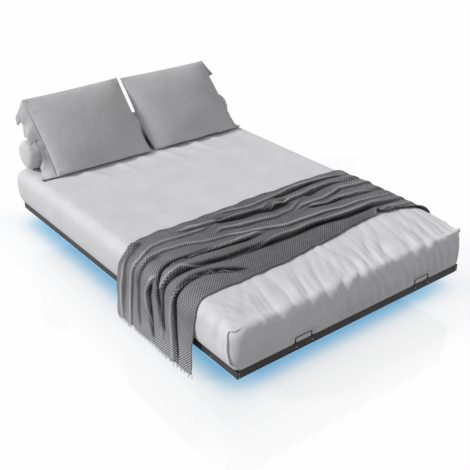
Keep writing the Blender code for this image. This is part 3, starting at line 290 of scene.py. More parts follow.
def powder_coat(name, dark, light, grain):
    """Powder-coated steel: fine orange peel of about 1.5 mm, drawn at 4 to 5 mm so that it shows.

    The screws in a coated piece are bright zinc where their heads stand out of the rim."""
    material, shader = new_material(name, Specular_IOR_Level=0.14)
    place = add_node(material, "TexCoord", output="Object")
    peel = add_node(material, "TexNoise", {"Vector": place, "Scale": grain, "Detail": 3.0})
    cloud = add_node(material, "TexNoise", {"Vector": place, "Scale": 9.0, "Detail": 2.0})
    coat = add_node(material, "ValToRGB", [cloud], stops=((0.35, dark), (0.65, light)))
    rough = add_node(material, "MapRange", {"Value": peel, "To Min": 0.36, "To Max": 0.52})
    zinc = outside(material, RIM_X + 0.0001, RIM_Y + 0.0001)
    # the Mix node's colours are its inputs 6 and 7, and the mixed colour its output 2
    fill(shader, {
        "Base Color": add_node(material, "Mix", {0: zinc, 6: coat, 7: srgb("85807A")}, output=2,
                               data_type="RGBA"),
        "Metallic": add_node(material, "Mix", {"Factor": zinc, "A": 0.0, "B": 0.9}),
        "Roughness": add_node(material, "Mix", {"Factor": zinc, "A": rough, "B": 0.34}),
        "Normal": add_node(material, "Bump", {"Height": peel, "Strength": 0.25, "Distance": 0.0006})})
    return material


def moulded(name, dark, light, roughness, grain, depth):
    """Moulded plastic or rubber, the fine grain of its mould drawn at half a millimetre to one."""
    material, shader = new_material(name, Roughness=roughness)
    place = add_node(material, "TexCoord", output="Object")
    grains = add_node(material, "TexVoronoi", {"Vector": place, "Scale": grain})
    cloud = add_node(material, "TexNoise", {"Vector": place, "Scale": 40.0, "Detail": 2.0})
    fill(shader, {
        "Base Color": add_node(material, "ValToRGB", [cloud], stops=((0.3, dark), (0.7, light))),
        "Normal": add_node(material, "Bump", {"Height": grains, "Strength": 0.3, "Distance": depth})})
    return material


def zinc_plate():
    """Bright zinc plating, faintly mottled at about 6 mm where the passivation dried."""
    material, shader = new_material("bright zinc plating", Metallic=1.0)
    place = add_node(material, "TexCoord", output="Object")
    mottle = add_node(material, "TexNoise", {"Vector": place, "Scale": 160.0, "Detail": 4.0})
    fill(shader, {
        "Base Color": add_node(material, "ValToRGB", [mottle],
                               stops=((0.3, "A7A49E"), (0.7, "CFCDC8"))),
        "Roughness": add_node(material, "MapRange", {"Value": mottle, "To Min": 0.24, "To Max": 0.42})})
    return material


def lit_silicone():
    """Milky silicone strip that glows light blue, a little brighter over each diode.

    Its leads stay dark."""
    material, shader = new_material("extruded milky silicone", Roughness=0.5)
    diodes_per_metre = 60
    place = add_node(material, "TexCoord", output="Object")
    along = add_node(material, "Math", [add_node(material, "SeparateXYZ", [place], output=axis)
                                        for axis in "XY"], operation="ADD")
    phase = add_node(material, "Math", [along, math.tau * diodes_per_metre], operation="MULTIPLY")
    wave = add_node(material, "Math", [phase], operation="COSINE")
    level = add_node(material, "Math", [wave, 0.25, 0.75], operation="MULTIPLY_ADD")
    colour = add_node(material, "ValToRGB", [level], stops=((0.5, "7FBDE6"), (1.0, "BFE2FA")))
    # the strips lie further out than the leads
    strip = outside(material, 0.6965, 1.0015)
    fill(shader, {"Base Color": colour, "Emission Color": colour,
                  "Emission Strength": add_node(material, "Math", [strip, 0.5], operation="MULTIPLY")})
    return material


def circuit_board():
    """Green solder mask with paler tracks."""
    material, shader = new_material("solder-masked circuit board", Roughness=0.35)
    place = add_node(material, "TexCoord", output="Object")
    fill(shader, {"Base Color": add_node(material, "TexBrick", {
        "Vector": place, "Scale": 60.0, "Color1": srgb("0E4A2A"), "Color2": srgb("115733"),
        "Mortar": srgb("2F7A4A"), "Mortar Size": 0.03})})
    return material


# Cloth

def percale(name, dark, light, scale=1.0):
    """Washed cotton percale: slight mottling, soft crumples, and a weave drawn at 6 mm to show."""
    material, shader = new_material(name, Roughness=0.88, Sheen_Weight=0.25, Sheen_Roughness=0.5,
                                    Specular_IOR_Level=0.25)
    place = add_node(material, "TexCoord", output="Object")
    cloud = add_node(material, "TexNoise",
                     {"Vector": place, "Scale": 5.0 * scale, "Detail": 4.0, "Roughness": 0.6})
    crumple = add_node(material, "TexNoise",
                       {"Vector": place, "Scale": 26.0 * scale, "Detail": 3.0, "Distortion": 0.6})
    weave = add_node(material, "Math", [
        add_node(material, "TexWave", {"Vector": place, "Scale": 52.0, "Distortion": 0.4},
                 output="Fac", bands_direction=axis) for axis in "XY"], operation="MULTIPLY")
    height = add_node(material, "Math", [weave, 0.12, crumple], operation="MULTIPLY_ADD")
    # upright ripples down the long sides, 60 mm apart, and broad soft ones over the top
    sides, broad = [add_node(material, "TexNoise", {
        "Vector": add_node(material, "Mapping", {"Vector": place, "Scale": stretch}),
        "Scale": 1.0, "Detail": 2.0, "Distortion": distortion})
        for stretch, distortion in (((0.5, 17.0, 2.2), 0.3), ((9.0, 5.0, 2.0), 0.8))]
    far = add_node(material, "Math", [add_node(material, "SeparateXYZ", [place])], operation="ABSOLUTE")
    at_side = add_node(material, "MapRange", {"Value": far, "From Min": 0.69, "From Max": 0.73},
                       interpolation_type="SMOOTHSTEP")
    ripples = add_node(material, "Mix", {"Factor": at_side, "A": broad, "B": sides})
    height = add_node(material, "Math", [ripples, 1.5, height], operation="MULTIPLY_ADD")
    fill(shader, {
        "Base Color": add_node(material, "ValToRGB", [cloud], stops=((0.30, dark), (0.70, light))),
        "Normal": add_node(material, "Bump", {"Height": height, "Strength": 0.35, "Distance": 0.004})})
    return material


def ticking():
    """Cream cotton ticking, quilted in 60 mm squares, with a narrow woven stripe every 30 mm."""
    material, shader = new_material("woven cotton ticking", Roughness=0.9, Sheen_Weight=0.2)
    place = add_node(material, "TexCoord", output="Object")
    across, along = [add_node(material, "SeparateXYZ", [place], output=axis) for axis in "XY"]
    stripe, *waves = [
        add_node(material, "Math", [add_node(material, "Math", [part, turn], operation="MULTIPLY")],
                 operation="SINE")
        for part, turn in ((across, math.tau / 0.030), (across, math.pi / 0.060),
                           (along, math.pi / 0.060))]
    squares = add_node(material, "Math", [add_node(material, "Math", [wave], operation="ABSOLUTE")
                                          for wave in waves], operation="MULTIPLY")
    quilt = add_node(material, "Math", [squares, 0.4], operation="POWER")
    fill(shader, {
        "Base Color": add_node(material, "ValToRGB", [stripe],
                               stops=((0.80, "D8D5CC"), (0.90, "BDB9AE"))),
        "Normal": add_node(material, "Bump", {"Height": quilt, "Strength": 0.7, "Distance": 0.006})})
    return material


def chunky_knit():
    """Two-tone wool knit, its stitches in offset rows on a pitch of 13.5 mm, with a fuzzy surface.

    The stitches open where the throw hangs, so their dark gaps show most near the hem. Along a fold's crest
    the stitches show less and a highlight is painted, and its valleys get painted shade."""
    material, shader = new_material("chunky two-tone wool knit", Roughness=1.0, Sheen_Weight=0.06,
                                    Sheen_Roughness=0.6, Specular_IOR_Level=0.05)
    pitch = 0.0135
    cloth = add_node(material, "UVMap", uv_map="Cloth")
    # per-vertex tone from the throw's folds: painted highlight on crests, painted shade in valleys
    fold = add_node(material, "Attribute", output="Fac", attribute_name="PaintedShadeAndTone")
    run, place = [add_node(material, "SeparateXYZ", [cloth], output=axis) for axis in "XY"]
    stitch = add_node(material, "Math", [
        add_node(material, "Math", [add_node(material, "Math", [part, math.tau / pitch],
                                             operation="MULTIPLY")], operation="SINE")
        for part in (run, place)], operation="MULTIPLY")
    smooth = add_node(material, "MapRange", {"Value": fold, "From Min": 0.50, "From Max": 0.85,
                                             "To Min": 1.0, "To Max": 0.35},
                      interpolation_type="SMOOTHSTEP")
    stitch = add_node(material, "Math", [stitch, smooth], operation="MULTIPLY")
    opened = add_node(material, "MapRange", {"Value": run, "From Min": -1.06, "From Max": -0.94,
                                             "To Min": 1.12, "To Max": 0.31},
                      interpolation_type="SMOOTHSTEP")
    fuzz, blotch = [add_node(material, "TexNoise", {"Vector": cloth, "Scale": scale, "Detail": 3.0})
                    for scale in (260.0, 14.0)]
    # paler towards the hanging end, and a painted highlight towards the other end, where the top faces the
    # light
    paler_to_hang = add_node(material, "MapRange", {"Value": run, "From Min": -1.0, "From Max": -0.3,
                                            "To Min": -0.01, "To Max": -0.125})
    painted_light_at_right = add_node(material, "MapRange", {"Value": run, "From Min": 0.40, "From Max": 0.72,
                                           "To Max": 0.06})
    tone = 0.172
    for part, share in ((add_node(material, "Math", [stitch, opened], operation="MULTIPLY"), 0.44),
                        (fuzz, 0.14), (blotch, 0.10), (fold, 0.66), (paler_to_hang, 1.0), (painted_light_at_right, 1.0)):
        tone = add_node(material, "Math", [part, share, tone], operation="MULTIPLY_ADD")
    height = add_node(material, "Math", [fuzz, 0.3, stitch], operation="MULTIPLY_ADD")
    fill(shader, {
        "Base Color": add_node(material, "ValToRGB", [tone], stops=(
            (0.06, "080808"), (0.26, "1C1C1D"), (0.40, "464547"), (0.54, "6A696B"), (0.76, "B2B1B3"),
            (1.0, "E2E1E3"))),
        "Normal": add_node(material, "Bump", {"Height": height, "Strength": 0.4, "Distance": 0.0016})})
    return material


# Bedding block

# Share of a side that is straight in plan; the rest is the corner after it
STRAIGHT_SHARE = 0.9
section, SECTION_LENGTH = through(SECTION, 400)
# Where the seam at the right foot corner lies round the plan, as plan_point counts it
SEAM_PLACE = 0.95
# How far the bedding is drawn in below that seam, at distances down its section
SEAM_PULL = ((0.0, 0.0), (0.045, 0.003), (0.085, 0.009), (0.14, 0.020), (0.24, 0.015), (0.30, 0.0))
# Middle of the lapped fold at the left foot corner
FOLD_X, FOLD_Y = -0.72, -1.02


def plan_point(u, out_x, out_y, radius):
    """A point round the bedding's plan; u is 0 to 4, one unit for each side and the corner after it.

    Sides run foot, right, head, left. Of each unit, the first part is the straight and the rest
    the corner."""
    side = np.floor(u).astype(int) % 4
    share = u - np.floor(u)
    # at the top, where the grid meets the wall, the corners are all alike
    likeness = np.clip((out_x - 0.02) / 0.05, 0, 1)
    radii = radius * (1 + (np.array(CORNER_SHARES) - 1) * likeness)
    signs = np.array([(1, -1), (1, 1), (-1, 1), (-1, -1)])
    centres = signs * (np.array([TOP_X + out_x, TOP_Y + out_y]) - radii[:, None])
    outward = np.stack([np.cos(np.arange(4) * math.pi / 2 - math.pi / 2),
                        np.sin(np.arange(4) * math.pi / 2 - math.pi / 2)], -1)
    before = (side + 3) % 4
    start = centres[before] + radii[before, None] * outward[side]
    end = centres[side] + radii[side, None] * outward[side]
    straight = np.clip(share / STRAIGHT_SHARE, 0, 1)[:, None]
    angle = math.pi / 2 * (side - 1 + np.clip((share - STRAIGHT_SHARE) / (1 - STRAIGHT_SHARE), 0, 1))
    arc = centres[side] + radii[side, None] * np.stack([np.cos(angle), np.sin(angle)], -1)
    points = np.where(share[:, None] < STRAIGHT_SHARE, start + (end - start) * straight, arc)
    return points[:, 0], points[:, 1]


def section_at(distance):
    """Outward at the side and at the end, and height, at a distance down the section."""
    along = np.linspace(0, SECTION_LENGTH, len(section))
    return [np.interp(distance, along, column) for column in section.T]


def bedding_grid(shares_x, shares_y, corner_cells, distances):
    """A top grid that runs on down the wall to its last ring.

    Returns points, faces, each point's u (-1 on the top) and distance, and the last ring."""
    radius = CORNER_RADII[0][1]
    corner = np.linspace(0, radius, corner_cells + 1)[1:]

    def axis_values(half, shares):
        inner = half - radius
        return np.concatenate([-inner - corner[::-1], (2 * shares - 1) * inner, inner + corner])

    grid_x, grid_y = np.meshgrid(axis_values(TOP_X, shares_x), axis_values(TOP_Y, shares_y),
                                 indexing="ij")
    # square corners of the grid are pressed into round ones
    p = np.clip(np.abs(grid_x) - TOP_X + radius, 0, None) / radius
    q = np.clip(np.abs(grid_y) - TOP_Y + radius, 0, None) / radius
    reach = np.maximum(p, q)
    angle = np.where(p >= q, math.pi / 4 * q / np.maximum(p, 1e-9),
                     math.pi / 2 - math.pi / 4 * p / np.maximum(q, 1e-9))
    in_corner = (p > 0) & (q > 0)
    round_x = np.sign(grid_x) * (TOP_X - radius + radius * reach * np.cos(angle))
    round_y = np.sign(grid_y) * (TOP_Y - radius + radius * reach * np.sin(angle))
    flat_x, flat_y = np.where(in_corner, [round_x, round_y], [grid_x, grid_y])
    top = np.stack([flat_x, flat_y, np.full_like(flat_x, SECTION[0][2])], -1).reshape(-1, 3)
    index = np.arange(len(top)).reshape(grid_x.shape)

    def side_shares(shares):
        """u of the edge's points along one side, from the middle of one corner to the next."""
        turn = np.arange(corner_cells) / corner_cells / 2 * (1 - STRAIGHT_SHARE)
        before = turn + (1 + STRAIGHT_SHARE) / 2 - 1
        return np.concatenate([before, shares * STRAIGHT_SHARE, STRAIGHT_SHARE + turn[1:]])

    u = np.concatenate([side_shares(shares) + k for k, shares in enumerate(
        (shares_x, shares_y, 1 - shares_x[::-1], 1 - shares_y[::-1]))]) % 4
    walls = []
    for distance in distances:
        out_x, out_y, height = section_at(distance)
        x, y = plan_point(u, out_x, out_y, look_up(distance, CORNER_RADII))
        walls.append(np.stack([x, y, np.full_like(x, height)], -1))
    # round the grid's edge: foot from left to right, then right, head and left
    edge = np.concatenate([index[:-1, 0], index[-1, :-1], index[:0:-1, -1], index[0, :0:-1]])
    rings = [edge, *(np.arange(len(distances) * len(u)).reshape(-1, len(u)) + len(top))]
    return (np.vstack([top, *walls]), grid_faces(index) + ring_faces(rings),
            np.concatenate([np.full(len(top), -1.0), np.tile(u, len(distances))]),
            np.concatenate([np.zeros(len(top)), np.repeat(distances, len(u))]), rings[-1])


def turn_under(points, faces, last, shares, height):
    """Carry a wall's last ring on inwards at one height, each new ring a share of its size."""
    plan = shares[..., None] * points[last, :2]
    under = np.dstack([plan, np.full(plan.shape[:2], height)])
    rings = np.arange(plan[..., 0].size).reshape(plan.shape[:2]) + len(points)
    return np.vstack([points, under.reshape(-1, 3)]), faces + ring_faces([last, *rings]), rings[-1]


def under_throw(x, y, distance):
    """1 where the throw lies on the sheet, 0 away from it."""
    run = np.where(np.abs(x) > TOP_X, np.sign(x) * (TOP_X + distance), x)
    reach = plateau(run, THROW_LEFT_HEM, THROW_LEFT_HEM + 0.02, THROW_RIGHT_HEM - 0.03, THROW_RIGHT_HEM)
    return reach * smooth_step(look_up(run, THROW_HEAD_EDGE) - y, 0.004, 0.020) \
        * smooth_step(y - look_up(run, THROW_FOOT_EDGE), 0.004, 0.020)


def creases(place, run, pitch, seed, roundness=0.9):
    """Rounded crowns between sharp valleys that wander along a run, from 0 in a valley to 1."""
    phase = place / pitch + 0.8 * soft_noise(place / pitch / 2.3, run * 4, seed)
    crown = np.abs(np.sin(math.pi * phase)) ** roundness
    size = 0.55 + 0.45 * soft_noise(np.floor(phase) * 1.7 + 0.5, run * 9, seed + 1)
    return crown * size


def corner_pull(u, distance):
    """How far the bedding is drawn in at its right foot corner, below the pointed seam."""
    return look_up(distance, SEAM_PULL) * hill(u, SEAM_PLACE, 0.085)


def worn_edge(x, y, distance):
    """How far the bedding has sunk at its foot edge, most at the right foot corner."""
    shoulder = 0.012 * smooth_step(-y, 0.76, 0.97) * (1 - smooth_step(distance, 0.02, 0.15))
    corner = 0.014 * smooth_step(x, 0.40, 0.68) * smooth_step(-y, 0.72, 0.95)
    return shoulder + corner * (1 - smooth_step(distance, 0.04, 0.10))


# Pleats over the foot edge: pitch, height, how far down they reach, seed, roundness, and how much
# weaker they are on the left half
FOOT_PLEATS = ((0.092, 0.0145, 0.230, 5, 1.0, 0.0), (0.050, 0.0050, 0.170, 8, 0.9, 0.40))
# Creases that run out from under the pillows, and faint ones before them: middle, direction, height
PILLOW_CREASES = (
    (-0.42, 0.66, -1.0, 0.0085), (-0.22, 0.66, -1.3, 0.0060), (-0.05, 0.66, -0.9, 0.0100),
    (0.08, 0.64, -1.2, 0.0110), (0.19, 0.65, -0.9, 0.0110), (0.32, 0.66, -1.2, 0.0090),
    (0.46, 0.68, -1.0, 0.0070), (0.12, 0.40, -1.3, 0.0025), (0.28, 0.36, -1.2, 0.0025),
    (-0.15, 0.30, -1.2, 0.0020), (0.42, 0.22, -1.4, 0.0020))


def foot_pleats(x, down, clear_of_fold):
    """Pleats drawn over the foot edge, leaning a little, and weaker near the corners."""
    lean = x + 0.30 * np.minimum(down, 0.06) + 0.010 * soft_noise(x * 5 + 9, down * 4, 4)
    strength = 0.40 + 0.60 * smooth_step(x, -0.64, -0.46) - 0.25 * smooth_step(x, 0.50, 0.68)
    strength *= (0.40 + 0.60 * smooth_step(down, -0.16, 0.0)) * (0.3 + 0.7 * clear_of_fold)
    rise = 0
    for pitch, height, low, seed, roundness, weaker in FOOT_PLEATS:
        reach = 0.075 * soft_noise(x * 14, seed + 0.5, seed + 10)
        fade = 1 - smooth_step(down + reach, low - 0.120, low)
        fade *= 1 - weaker * (1 - smooth_step(x, -0.40, 0.0))
        rise += strength * fade * height * (creases(lean, down, pitch, seed, roundness) - 0.55)
    return rise


def slanting_creases(x, down):
    """Creases that run slanting down the foot face, more of them to the right."""
    share = smooth_step(x, -0.55, 0.20) * plateau(down, 0.07, 0.14, 0.26, 0.31)
    return 0.0130 * share * (creases(x - 0.35 * (down - 0.15), down, 0.060, 21) - 0.5)


def slack_wrinkles(x, y, distance):
    """Short slack wrinkles round the left foot corner."""
    share = smooth_step(-x, 0.40, 0.58) * smooth_step(-y, 0.76, 0.90)
    share *= 1 - smooth_step(distance, 0.06, 0.17)
    return 0.0062 * share * soft_noise((x + 0.6 * y) * 36, (y - x) * 9 + 0.7 * distance, 61)


def side_ripples(x, y, distance, from_fold):
    """Upright ripples down the two long sides, closer and higher by the lapped fold."""
    ripple = soft_noise(y / 0.070 + 0.8 * soft_noise(y * 9, distance * 8, 31), distance * 5, 32)
    near_fold = smooth_step(-y, 0.74, 0.84) * (x < 0) * smooth_step(from_fold, 0.04, 0.09)
    bend = soft_noise(distance * 9, y * 5, 64)
    ripple += 2.3 * near_fold * soft_noise(y * 32 + bend, distance * 8, 63)
    return 0.0020 * ripple * smooth_step(np.abs(x), TOP_X + 0.03, TOP_X + 0.08) \
        * plateau(distance, 0.03, 0.09, 0.24, 0.30)


def sheet_wrinkles(points, u, distance):
    """How far the sheet stands off its smooth form at each point."""
    x, y, z = points.T
    on_top = u < 0
    down = np.where(on_top, -(y + TOP_Y), distance)
    at_foot = np.where(on_top, smooth_step(-y, 0.62, 0.72), smooth_step(-y, TOP_Y - 0.04, TOP_Y - 0.005))
    from_fold = np.hypot(x - FOLD_X, y - FOLD_Y)
    clear_of_fold = smooth_step(from_fold, 0.09, 0.17)
    swells = 0.0016 * soft_noise(x * 4.2 + 3, y * 2.6, 1) + 0.0008 * soft_noise(x * 11, y * 6, 2)
    rise = swells * smooth_step(z, 0.415, SECTION[0][2])
    rise += at_foot * (foot_pleats(x, down, clear_of_fold) + slanting_creases(x, down))
    rise += clear_of_fold * slack_wrinkles(x, y, distance)
    rise += ~on_top * side_ripples(x, y, distance, from_fold)
    for middle_x, middle_y, turn, height in PILLOW_CREASES:
        along = (x - middle_x) * math.cos(turn) + (y - middle_y) * math.sin(turn)
        across = (y - middle_y) * math.cos(turn) - (x - middle_x) * math.sin(turn)
        rise += on_top * height * hill(along, 0, 0.11) * hill(across, 0, 0.024)
    rise -= worn_edge(x, y, distance) + corner_pull(u, distance)
    # the pointed seam at the right foot corner
    rise += ~on_top * 0.019 * hill(u, SEAM_PLACE, 0.028) * hill(distance, 0.096, 0.020)
    covered = under_throw(x, y, distance)
    return rise * (1 - covered) - 0.0015 * covered


def press_loops(points):
    """Press the sheet back behind the wire of the two retainer loops."""
    x, y, z = points.T
    # the thickness of the wire and half a millimetre more
    wire = 0.0055
    for loop in ("retainer_loop_left", "retainer_loop_right"):
        low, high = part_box(loop)
        off = np.abs(x - (low.x + high.x) / 2)
        half = (high.x - low.x) / 2 - wire
        near = (1 - smooth_step(off, half + 0.006, half + 0.022)) \
            * (1 - smooth_step(z, high.z + 0.001, high.z + 0.016))
        inside = (1 - smooth_step(off, half - 0.018, half - 0.005)) \
            * (1 - smooth_step(z, high.z - 0.014, high.z - 0.005))
        limit = high.y - 0.0018 - 0.0022 * inside
        y = y + (np.maximum(y, limit) - y) * near * (y < -TOP_Y)
    return np.stack([x, y, z], -1)


def make_bed_sheet(cloth):
    """The sheet over the mattress, tucked under it all round."""
    distances = np.concatenate([np.linspace(0, 0.165, 25)[1:],
                                np.linspace(0.165, SECTION_LENGTH, 18)[1:]])
    # finer towards the foot and before the pillows
    shares_y = np.concatenate([np.linspace(0, 0.15, 28)[:-1], np.linspace(0.15, 0.72, 26)[:-1],
                               np.linspace(0.72, 0.90, 20)[:-1], np.linspace(0.90, 1, 6)])
    points, faces, u, distance, last = bedding_grid(
        np.linspace(0, 1, 204), shares_y, corner_cells=7, distances=distances)
    points = press_loops(displaced(points, faces, sheet_wrinkles(points, u, distance) + 0.0006))
    insets = np.array([0.012, 0.030, 0.052])
    shares = 1 - insets[:, None] / np.linalg.norm(points[last, :2], axis=1)
    points, faces, _ = turn_under(points, faces, last, shares, BED_BOTTOM + 0.0012)
    sheet = mesh_object("bed_sheet_cloth", points, faces, cloth)
    thicken(sheet, 0.0018)
    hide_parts("bed_sheet")
    # the flat cloth goes down both walls and 50 mm under at each edge
    make_corner_fold(cloth)


def make_corner_fold(cloth):
    """The lapped fold of the sheet at the left foot corner, its edge running down and round it."""
    # places along the wall from the corner's middle towards the foot, and down the section
    path, _ = through((
        (-0.008, 0.282), (-0.020, 0.238), (-0.027, 0.190), (-0.025, 0.150), (-0.027, 0.121),
        (-0.023, 0.111), (-0.014, 0.109), (-0.003, 0.107), (0.011, 0.098), (0.025, 0.087)), 80)
    ahead = unit(np.gradient(path, axis=0))
    away = np.stack([ahead[:, 1], -ahead[:, 0]], -1)
    away = np.where(away.sum(1)[:, None] > 0, -away, away)
    ends = plateau(np.linspace(0, 1, len(path)), 0.0, 0.10, 0.80, 1.0)
    # the edge turns under to the sheet
    under = path + away * 0.007
    rows = [wall_point(under[:, 0], under[:, 1], np.full(len(path), -0.002))]
    for share in np.linspace(0, 1, 15) ** 1.5:
        place = path + away * 0.050 * share
        lift = (0.0075 * ends + 0.0012) * (1 - share) ** 1.4 * (1 - 0.35 * np.exp(-share / 0.02))
        rows.append(wall_point(place[:, 0], np.clip(place[:, 1], 0.004, SECTION_LENGTH),
                               lift - 0.0060 * share + 0.0008))
    index = np.arange(len(rows) * len(path)).reshape(len(rows), -1)
    fold = mesh_object("sheet_corner_fold", np.vstack(rows), grid_faces(index), cloth)
    turn_outwards(fold, Vector((0, 0, 0.3)))
    thicken(fold, 0.0016)
    return fold


def wall_point(along, distance, lift):
    """Points near the left foot corner: along the wall from its middle, down the section, outwards."""
    points = []
    for low in (distance, distance + 0.001):
        out_x, out_y, height = section_at(low)
        radius = look_up(low, CORNER_RADII) * CORNER_SHARES[3]
        quarter = radius * math.pi / 4
        angle = np.clip((along + quarter) / radius, 0, math.pi / 2)
        x = -(TOP_X + out_x - radius) - radius * np.cos(angle) + np.clip(along - quarter, 0, None)
        y = -(TOP_Y + out_y - radius) - radius * np.sin(angle) - np.clip(along + quarter, None, 0)
        points.append(np.stack([x, y, height], -1))
    side = np.stack([np.sin(angle), -np.cos(angle), 0 * angle], -1)
    outward = unit(np.cross(side, unit(points[1] - points[0])))
    outward *= np.where((outward @ np.array([-1.0, -1.0, 0.2]))[:, None] < 0, -1, 1)
    sunk = worn_edge(points[0][:, 0], points[0][:, 1], distance)
    return points[0] + outward * (lift - sunk)[:, None]


def make_mattress(cover):
    """The mattress inside the sheet, with its quilted ticking."""
    points, faces, u, distance, last = bedding_grid(
        np.linspace(0, 1, 35), np.linspace(0, 1, 47), 4, np.linspace(0, SECTION_LENGTH, 15)[1:])
    points = displaced(points, faces, -0.0135 - corner_pull(u, distance)
                       - worn_edge(points[:, 0], points[:, 1], distance))
    # rings run inwards under it, to a last one that a single small face closes
    shares = np.maximum(np.linspace(0.96, 0.0, 14), 0.0005)[:, None]
    points, faces, last = turn_under(points, faces, last, shares, BED_BOTTOM + 0.0045)
    mattress = mesh_object("mattress_core", points, faces + [last[::-1]], cover)
    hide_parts("mattress")


# Throw

# Traced lines: run to the right of the middle of the bed and on down its sides, and place along it
THROW_HEAD_EDGE = ((-1.115, -0.135), (-1.013, -0.132), (-0.923, -0.140), (-0.828, -0.160), (-0.754, -0.186),
                   (-0.715, -0.193), (-0.633, -0.166), (-0.524, -0.155), (-0.280, -0.164), (0.055, -0.148),
                   (0.407, -0.150), (0.545, -0.147), (0.659, -0.157), (0.740, -0.190), (0.830, -0.215))
THROW_FOOT_EDGE = ((-1.115, -0.735), (-0.926, -0.751), (-0.825, -0.762), (-0.766, -0.772), (-0.712, -0.764),
                   (-0.651, -0.753), (-0.594, -0.747), (-0.487, -0.748), (-0.363, -0.748), (-0.255, -0.743),
                   (-0.122, -0.731), (0.016, -0.719), (0.168, -0.699), (0.329, -0.678), (0.455, -0.667),
                   (0.477, -0.655), (0.497, -0.676), (0.525, -0.691), (0.556, -0.691), (0.572, -0.686),
                   (0.602, -0.703), (0.683, -0.742), (0.750, -0.775), (0.830, -0.790))
# Each crest: its height, its half width, and its line
THROW_CRESTS = (
    (0.016, 0.020, ((-0.464, -0.188), (-0.414, -0.208), (-0.321, -0.221), (-0.204, -0.230),
                    (-0.084, -0.239), (0.052, -0.250), (0.130, -0.206))),
    (0.013, 0.018, ((-1.115, -0.232), (-0.955, -0.247), (-0.865, -0.258), (-0.785, -0.276),
                    (-0.711, -0.294), (-0.629, -0.252), (-0.539, -0.243), (-0.460, -0.250),
                    (-0.345, -0.258), (-0.234, -0.228))),
    (0.015, 0.018, ((-0.244, -0.162), (-0.107, -0.185), (0.010, -0.203), (0.145, -0.187),
                    (0.300, -0.172), (0.430, -0.170), (0.560, -0.175), (0.700, -0.200))),
    (0.020, 0.018, ((0.030, -0.300), (0.061, -0.287), (0.127, -0.255), (0.196, -0.265),
                    (0.299, -0.261), (0.397, -0.243), (0.546, -0.242), (0.653, -0.270),
                    (0.780, -0.290))),
    (0.019, 0.020, ((-0.340, -0.330), (-0.259, -0.306), (-0.162, -0.338), (-0.043, -0.349),
                    (0.041, -0.365), (0.154, -0.352), (0.240, -0.310), (0.290, -0.270))),
    (0.018, 0.019, ((0.150, -0.375), (0.222, -0.356), (0.287, -0.359), (0.370, -0.363),
                    (0.455, -0.351), (0.525, -0.325), (0.578, -0.333), (0.639, -0.349),
                    (0.780, -0.360))),
    (0.016, 0.017, ((0.198, -0.390), (0.271, -0.387), (0.349, -0.408), (0.453, -0.413),
                    (0.561, -0.418), (0.643, -0.450), (0.693, -0.461), (0.800, -0.470))),
    (0.017, 0.022, ((-0.900, -0.330), (-0.718, -0.329), (-0.675, -0.321), (-0.587, -0.312),
                    (-0.481, -0.325), (-0.395, -0.364), (-0.283, -0.378), (-0.195, -0.418),
                    (-0.085, -0.438), (0.013, -0.475), (0.162, -0.492), (0.268, -0.490),
                    (0.364, -0.510), (0.459, -0.510), (0.561, -0.520), (0.780, -0.540))),
    (0.020, 0.020, ((-0.700, -0.458), (-0.618, -0.436), (-0.522, -0.422), (-0.419, -0.434),
                    (-0.307, -0.445), (-0.192, -0.453), (-0.080, -0.446))),
    (0.024, 0.021, ((-0.930, -0.478), (-0.816, -0.487), (-0.729, -0.506), (-0.660, -0.494),
                    (-0.615, -0.480), (-0.534, -0.510), (-0.436, -0.534), (-0.324, -0.542),
                    (-0.205, -0.544), (-0.080, -0.528), (0.064, -0.534), (0.174, -0.540),
                    (0.316, -0.556), (0.420, -0.560), (0.543, -0.560), (0.660, -0.575),
                    (0.800, -0.600))),
    (0.022, 0.018, ((-1.090, -0.590), (-0.981, -0.590), (-0.884, -0.590), (-0.752, -0.602),
                    (-0.700, -0.604), (-0.605, -0.580), (-0.527, -0.588), (-0.437, -0.645),
                    (-0.380, -0.685))),
    (0.020, 0.014, ((-1.010, -0.420), (-0.968, -0.410), (-0.924, -0.394), (-0.885, -0.385),
                    (-0.833, -0.390), (-0.764, -0.424), (-0.704, -0.450))),
    (0.015, 0.012, ((-1.010, -0.512), (-0.971, -0.509), (-0.904, -0.502), (-0.841, -0.497))),
    (0.008, 0.026, ((-1.115, -0.165), (-1.000, -0.165), (-0.900, -0.175), (-0.800, -0.195),
                    (-0.730, -0.220))),
    (0.012, 0.020, ((0.330, -0.690), (0.450, -0.665), (0.560, -0.640), (0.700, -0.680))),
)
